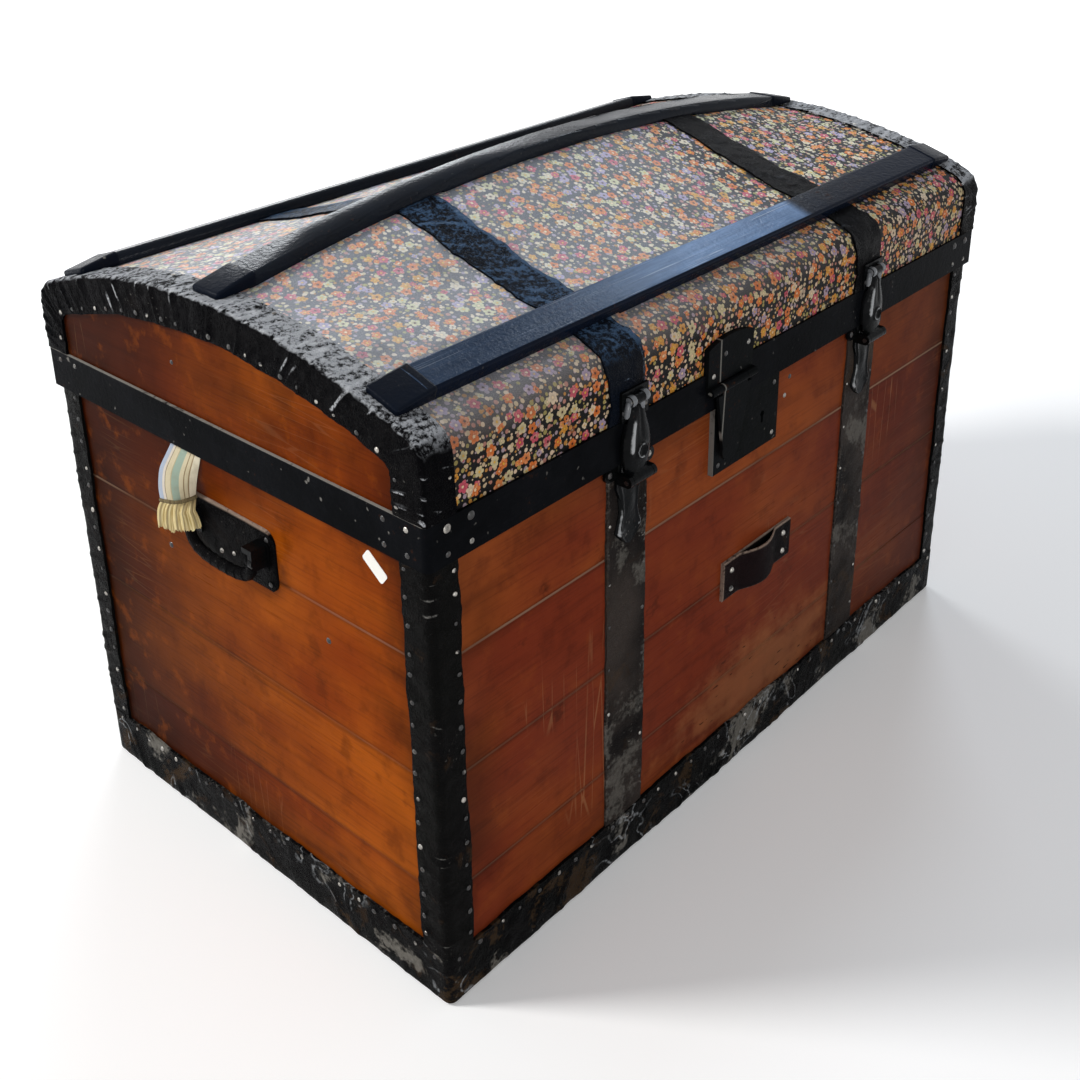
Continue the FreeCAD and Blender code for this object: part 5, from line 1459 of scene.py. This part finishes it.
def softened(name, node, edge, finish, slot, cap=False):
    # a copy of a solid with its edges rounded
    shape = bmesh.new()
    shape.from_mesh(nodes[node].data)
    bmesh.ops.transform(shape, matrix=nodes[node].matrix_world, verts=shape.verts)
    if cap:
        closedHulls(shape)
    bmesh.ops.remove_doubles(shape, verts=shape.verts, dist=1e-6)
    bmesh.ops.dissolve_limit(shape, angle_limit=math.radians(2), verts=shape.verts, edges=shape.edges)
    sharp = [e for e in shape.edges if len(e.link_faces) == 2 and e.calc_face_angle() > math.radians(30)]
    bmesh.ops.bevel(shape, geom=sharp, offset=edge, segments=4, profile=0.5, affect="EDGES",
                    clamp_overlap=True)
    bmesh.ops.recalc_face_normals(shape, faces=shape.faces)
    # every cap thins towards its end, and the middle slat and its caps lift evenly off the arch bindings
    start, length = slatForm["taperRun"]
    inside = slatForm["inside"]
    liftEnd, liftRun = slatForm["liftEnd"]
    for point in shape.verts:
        x, y, z = point.co
        if cap:
            outward = Vector((0.0, y, z - domeZ)).normalized()
            height = max(0.0, math.hypot(y, z - domeZ) - dome)
            point.co -= outward * height * slatForm["taper"] * min(1.0, max(0.0, (abs(x) - start) / length))
        elif abs(x) > inside:
            point.co.x = math.copysign(inside + (abs(x) - inside) * 0.1, x)
        if abs(point.co.y) < slatForm["middle"]:
            x = abs(point.co.x)
            risen = min(1.0, (liftEnd - x) / liftRun) * min(1.0, x / slatForm["liftFull"]) ** 2
            point.co.z += slatForm["lift"] * risen
    mesh = bpy.data.meshes.new(name)
    shape.to_mesh(mesh)
    shape.free()
    settle(shown(name, mesh, finish, 35), "lid", slot, node)


for place, paint in (("front", frontSlatPaint), ("middle", slatPaint), ("back", slatPaint)):
    softened("slat_wood_" + place, "slat_" + place, slatForm["edge"], paint, "black_slat")
softened("slat_tips", "slat_end_caps", slatForm["tip"], capTin, "black_iron", cap=True)
print("slats softened")

nailHead = {
    "radius": 0.0021,
    "rise": 0.45,
    "tilt": 0.16,
    "uneven": 0.22,
    "seed": 7,
    "segments": 10,
    "rings": 8,
    "cut": -0.3,  # height under which the ball is taken away, for a radius of 1
}


def nailTree():
    # a low dome on every point, leaning a little off the point's facing, its size the point's own
    tree = bpy.data.node_groups.new("NailHeads", "GeometryNodeTree")
    inputs = [("Geometry", "Geometry", None)]
    inputs += [(label, "Float", nailHead[label.lower()]) for label in ("Radius", "Rise", "Tilt", "Uneven")]
    inputs += [("Seed", "Int", nailHead["seed"]), ("Finish", "Material", None)]
    for label, kind, value in inputs:
        socket = tree.interface.new_socket(label, in_out="INPUT", socket_type="NodeSocket" + kind)
        if value is not None:
            socket.default_value = value
    tree.interface.new_socket("Geometry", in_out="OUTPUT", socket_type="NodeSocketGeometry")
    flow = Flow(tree)
    group = flow.node("NodeGroupInput").socket.node
    given = {label: Flow(tree, group.outputs[label]) for label, kind, value in inputs}

    def named(name, kind):
        return flow.node("GeometryNodeInputNamedAttribute", {"data_type": kind}, {"Name": name})

    def vectors(operation, values):
        return flow.node("ShaderNodeVectorMath", {"operation": operation}, values)

    values = {"Segments": nailHead["segments"], "Rings": nailHead["rings"], "Radius": 1.0}
    ball = flow.node("GeometryNodeMeshUVSphere", {}, values)
    height = flow.node("GeometryNodeInputPosition").parts()[2]
    settings = {"data_type": "FLOAT", "operation": "LESS_THAN"}
    below = flow.node("FunctionNodeCompare", settings, {0: height, 1: nailHead["cut"]})
    head = flow.node("GeometryNodeDeleteGeometry", {"domain": "POINT"}, {0: ball, 1: below})
    values = {0: (-1, -1, -1), 1: (1, 1, 1), "Seed": given["Seed"]}
    lean = flow.node("FunctionNodeRandomValue", {"data_type": "FLOAT_VECTOR"}, values)
    lean = vectors("SCALE", {0: lean, "Scale": given["Tilt"]})
    leaning = vectors("ADD", {0: named("facing", "FLOAT_VECTOR"), 1: lean})
    turn = flow.node("FunctionNodeAlignRotationToVector", {"axis": "Z"}, {"Vector": leaning})
    values = {2: -1.0, 3: 1.0, "Seed": given["Seed"]}
    vary = flow.node("FunctionNodeRandomValue", {"data_type": "FLOAT"}, values, 1)
    wide = vary.sum("MULTIPLY_ADD", given["Uneven"], 1.0) * named("size", "FLOAT") * given["Radius"]
    scale = flow.joined(wide, wide, wide * given["Rise"])
    values = {"Points": given["Geometry"], "Instance": head, "Rotation": turn, "Scale": scale}
    placed = flow.node("GeometryNodeInstanceOnPoints", {}, values)
    heads = flow.node("GeometryNodeRealizeInstances", {}, {0: placed})
    smooth = flow.node("GeometryNodeSetShadeSmooth", {}, {0: heads})
    painted = flow.node("GeometryNodeSetMaterial", {}, {"Geometry": smooth, "Material": given["Finish"]})
    flow.node("NodeGroupOutput", {}, {0: painted})
    return tree


nailGroup = nailTree()


def driveNails(name, body, seed, marks):
    # runs the node tree on bare points, and keeps the result as a plain mesh; a mark is (place, facing, size)
    places, facing, sizes = zip(*marks)
    mesh = bpy.data.meshes.new(name + "_points")
    mesh.from_pydata([tuple(p) for p in places], [], [])
    way = mesh.attributes.new("facing", "FLOAT_VECTOR", "POINT")
    way.data.foreach_set("vector", np.asarray(facing, dtype=np.float32).ravel())
    size = mesh.attributes.new("size", "FLOAT", "POINT")
    size.data.foreach_set("value", np.asarray(sizes, dtype=np.float32))
    piece = bpy.data.objects.new(name, mesh)
    bpy.context.scene.collection.objects.link(piece)
    modifier = piece.modifiers.new("Grow", "NODES")
    modifier.node_group = nailGroup
    values = {"Finish": nailSteel, "Seed": seed}
    for item in nailGroup.interface.items_tree:
        if item.item_type == "SOCKET" and item.in_out == "INPUT" and item.name in values:
            modifier[item.identifier] = values[item.name]
    done = piece.evaluated_get(bpy.context.evaluated_depsgraph_get())
    result = bpy.data.meshes.new_from_object(done)
    piece.modifiers.remove(modifier)
    piece.data = result
    result.name = name
    settle(piece, body, "nail_steel")


nailRows = {
    "proud": 0.0005,  # over the bindings' plane
    "inset": 0.005,  # from a binding's edge
    "corner": (0.064, 0.414, 0.023),  # first, end and pitch
    "front": (-0.396, 0.397, 0.024),
    "end": (-0.230, 0.231, 0.024),
    "strap": (0.075, 0.36, 0.047),
    "strapIn": 0.0225,
    "strapY": 0.2432,
    "strapSize": 0.75,
    "archX": 0.4142,
    "arch": 0.021,
    "top": 0.043,
    "topX": 0.3885,
    "topLift": 0.0022,
    "topSize": 0.85,
}


def boxMarks():
    chance = np.random.default_rng(5)
    marks = []
    edge = nailRows["inset"]
    outX, outY = corner["x"] + nailRows["proud"], corner["y"] + nailRows["proud"]
    inX, inY = corner["x"] - corner["width"] + edge, corner["y"] - corner["width"] + edge
    for sx in (-1, 1):
        for sy in (-1, 1):
            for z in np.arange(*nailRows["corner"]):
                wob = chance.uniform(-0.003, 0.003, 4)
                marks.append(((sx * outX, sy * (inY + wob[1] * 0.3), z + wob[0]), (sx, 0, 0), 1.0))
                marks.append(((sx * (inX + wob[3] * 0.3), sy * outY, z + wob[2]), (0, sy, 0), 1.0))
    top = bottom["height"] - edge - 0.001
    for sy in (-1, 1):
        for x in np.arange(*nailRows["front"]):
            wob = chance.uniform(-0.003, 0.003, 2)
            marks.append(((x + wob[0], sy * outY, top + wob[1] * 0.4), (0, sy, 0), 1.0))
    for sx in (-1, 1):
        for y in np.arange(*nailRows["end"]):
            wob = chance.uniform(-0.003, 0.003, 2)
            marks.append(((sx * outX, y + wob[0], top + wob[1] * 0.4), (sx, 0, 0), 1.0))
    for sy in (-1, 1):
        for x in straps["places"]:
            for way in (-1, 1):
                for z in np.arange(*nailRows["strap"]):
                    wob = chance.uniform(-0.006, 0.006, 2)
                    place = (x + way * nailRows["strapIn"], sy * nailRows["strapY"], z + wob[0])
                    marks.append((place, (0, sy, 0), nailRows["strapSize"]))
    return marks


def lidMarks():
    chance = np.random.default_rng(6)
    marks = []
    section, out, run = lidSection(lidForm["bandTop"] + 0.006, 0.002)
    inner = archInner(lidSection(lidForm["bandTop"], 0.002)[2])
    length = distances(inner)

    def onEdge(s):
        return np.array((np.interp(s, length, inner[:, 0]), np.interp(s, length, inner[:, 1])))

    for sx in (-1, 1):
        for s in np.arange(0.008, length[-1] - 0.006, nailRows["arch"]):
            s += chance.uniform(-0.003, 0.003)
            way = onEdge(s + 0.01) - onEdge(s - 0.01)
            way = way / np.linalg.norm(way)
            p = onEdge(s) + np.array((-way[1], way[0])) * nailRows["inset"]
            marks.append(((sx * nailRows["archX"], p[0], p[1]), (sx, 0, 0), 1.0))
        for s in np.arange(0.02, run[-1] - 0.01, nailRows["top"]):
            s += chance.uniform(-0.004, 0.004)
            i = int(np.searchsorted(run, s))
            p = section[i] + out[i] * nailRows["topLift"]
            place = (sx * nailRows["topX"], p[0], p[1])
            marks.append((place, (0, out[i][0], out[i][1]), nailRows["topSize"]))
    return marks


driveNails("binding_nails_box", "chest", 11, boxMarks())
driveNails("binding_nails_lid", "lid", 12, lidMarks())
print("nails driven")

studio = {
    "floor": "fbfbfb",
    "reach": 14.0,
    "floorZ": -0.0005,
    "glow": (0.15, 0.95),  # of the floor's own white, near the trunk and far from it
    "glowRun": (1.0, 2.8),
    "world": 0.30,
    "sky": (0.97, 0.98, 1.0, 1),
    # power, place, size, aim and colour
    "lamps": {
        "key_lamp": (222.0, (-3.3, 3.0, 3.6), 1.2, (0, 0, 0.25), (1.0, 0.992, 0.975)),
        "fill_lamp": (34.0, (-1.7, -3.1, 1.6), 1.0, (0, 0, 0.3), (1, 1, 1)),
        "rim_lamp": (14.0, (1.1, 1.75, 1.3), 0.9, (0, 0, 0.5), (0.92, 0.96, 1.0)),
        "sky_lamp": (9.0, (1.52, 0.38, 1.90), 0.45, (0, 0, 0.5), (0.78, 0.88, 1.0)),
    },
}


def seenRays(flow):
    # 1 where the camera sees a thing directly, in a reflection or through glass
    path = flow.node("ShaderNodeLightPath").socket.node
    seen = Flow(flow.tree, path.outputs["Is Camera Ray"])
    for kind in ("Is Glossy Ray", "Is Transmission Ray"):
        seen = seen.sum("MAXIMUM", Flow(flow.tree, path.outputs[kind]))
    return seen


def makeStudio():
    scene = bpy.context.scene
    scene.view_settings.view_transform = "Standard"
    material, flow, place = newFinish("StudioFloor")
    lit = flow.node("ShaderNodeBsdfDiffuse", {}, {"Color": studio["floor"]})
    x, y = place.parts()[:2]
    low, high = studio["glow"]
    strength = (x * x + y * y).sum("SQRT").step(*studio["glowRun"]) * (high - low) + low
    glow = flow.node("ShaderNodeEmission", {}, {"Color": (1, 1, 1, 1), "Strength": strength})
    both = flow.node("ShaderNodeAddShader", {}, {0: lit, 1: glow})
    surface = flow.node("ShaderNodeMixShader", {}, {0: seenRays(flow), 1: lit, 2: both})
    flow.node("ShaderNodeOutputMaterial", {}, {0: surface})
    mesh = bpy.data.meshes.new("studio_floor")
    far = studio["reach"]
    mesh.from_pydata([(-far, -far, 0), (far, -far, 0), (far, far, 0), (-far, far, 0)], [], [(0, 1, 2, 3)])
    mesh.materials.append(material)
    floor = bpy.data.objects.new("studio_floor", mesh)
    scene.collection.objects.link(floor)
    floor.location = (0, 0, studio["floorZ"])
    world = bpy.data.worlds.new("Studio")
    scene.world = world
    world.use_nodes = True
    world.node_tree.nodes.clear()
    sky = Flow(world.node_tree)
    strength = seenRays(sky) * (1.0 - studio["world"]) + studio["world"]
    back = sky.node("ShaderNodeBackground", {}, {0: studio["sky"], 1: strength})
    sky.node("ShaderNodeOutputWorld", {}, {0: back})
    for name, (power, place, size, aim, colour) in studio["lamps"].items():
        lamp = bpy.data.lights.new(name, "AREA")
        lamp.shape = "DISK"
        lamp.size = size
        lamp.energy = power
        lamp.color = colour
        holder = bpy.data.objects.new(name, lamp)
        scene.collection.objects.link(holder)
        holder.location = place
        holder.rotation_euler = (Vector(aim) - Vector(place)).to_track_quat("-Z", "Y").to_euler()


viewpoint = {
    "place": (-0.96957, -0.8536, 0.94703),
    "azimuth": -46.3457,
    "elevation": 22.802,
    "roll": -1.5262,
    "lens": 46.076,
    "sensor": 36.0,
    "shift": (0.0370, -0.1944),
}


def makeCamera():
    az, el, roll = [math.radians(viewpoint[key]) for key in ("azimuth", "elevation", "roll")]
    back = Vector((math.sin(az) * math.cos(el), -math.cos(az) * math.cos(el), math.sin(el)))
    right = (-back).cross(Vector((0, 0, 1))).normalized()
    up = right.cross(-back)
    turnedRight = math.cos(roll) * right + math.sin(roll) * up
    turnedUp = -math.sin(roll) * right + math.cos(roll) * up
    lens = bpy.data.cameras.new("camera")
    lens.sensor_width = viewpoint["sensor"]
    lens.lens = viewpoint["lens"]
    lens.shift_x, lens.shift_y = viewpoint["shift"]
    camera = bpy.data.objects.new("camera", lens)
    bpy.context.scene.collection.objects.link(camera)
    turn = Matrix((turnedRight, turnedUp, back)).transposed()
    camera.matrix_world = Matrix.Translation(viewpoint["place"]) @ turn.to_4x4()
    bpy.context.scene.camera = camera


makeStudio()
makeCamera()
print("studio set")
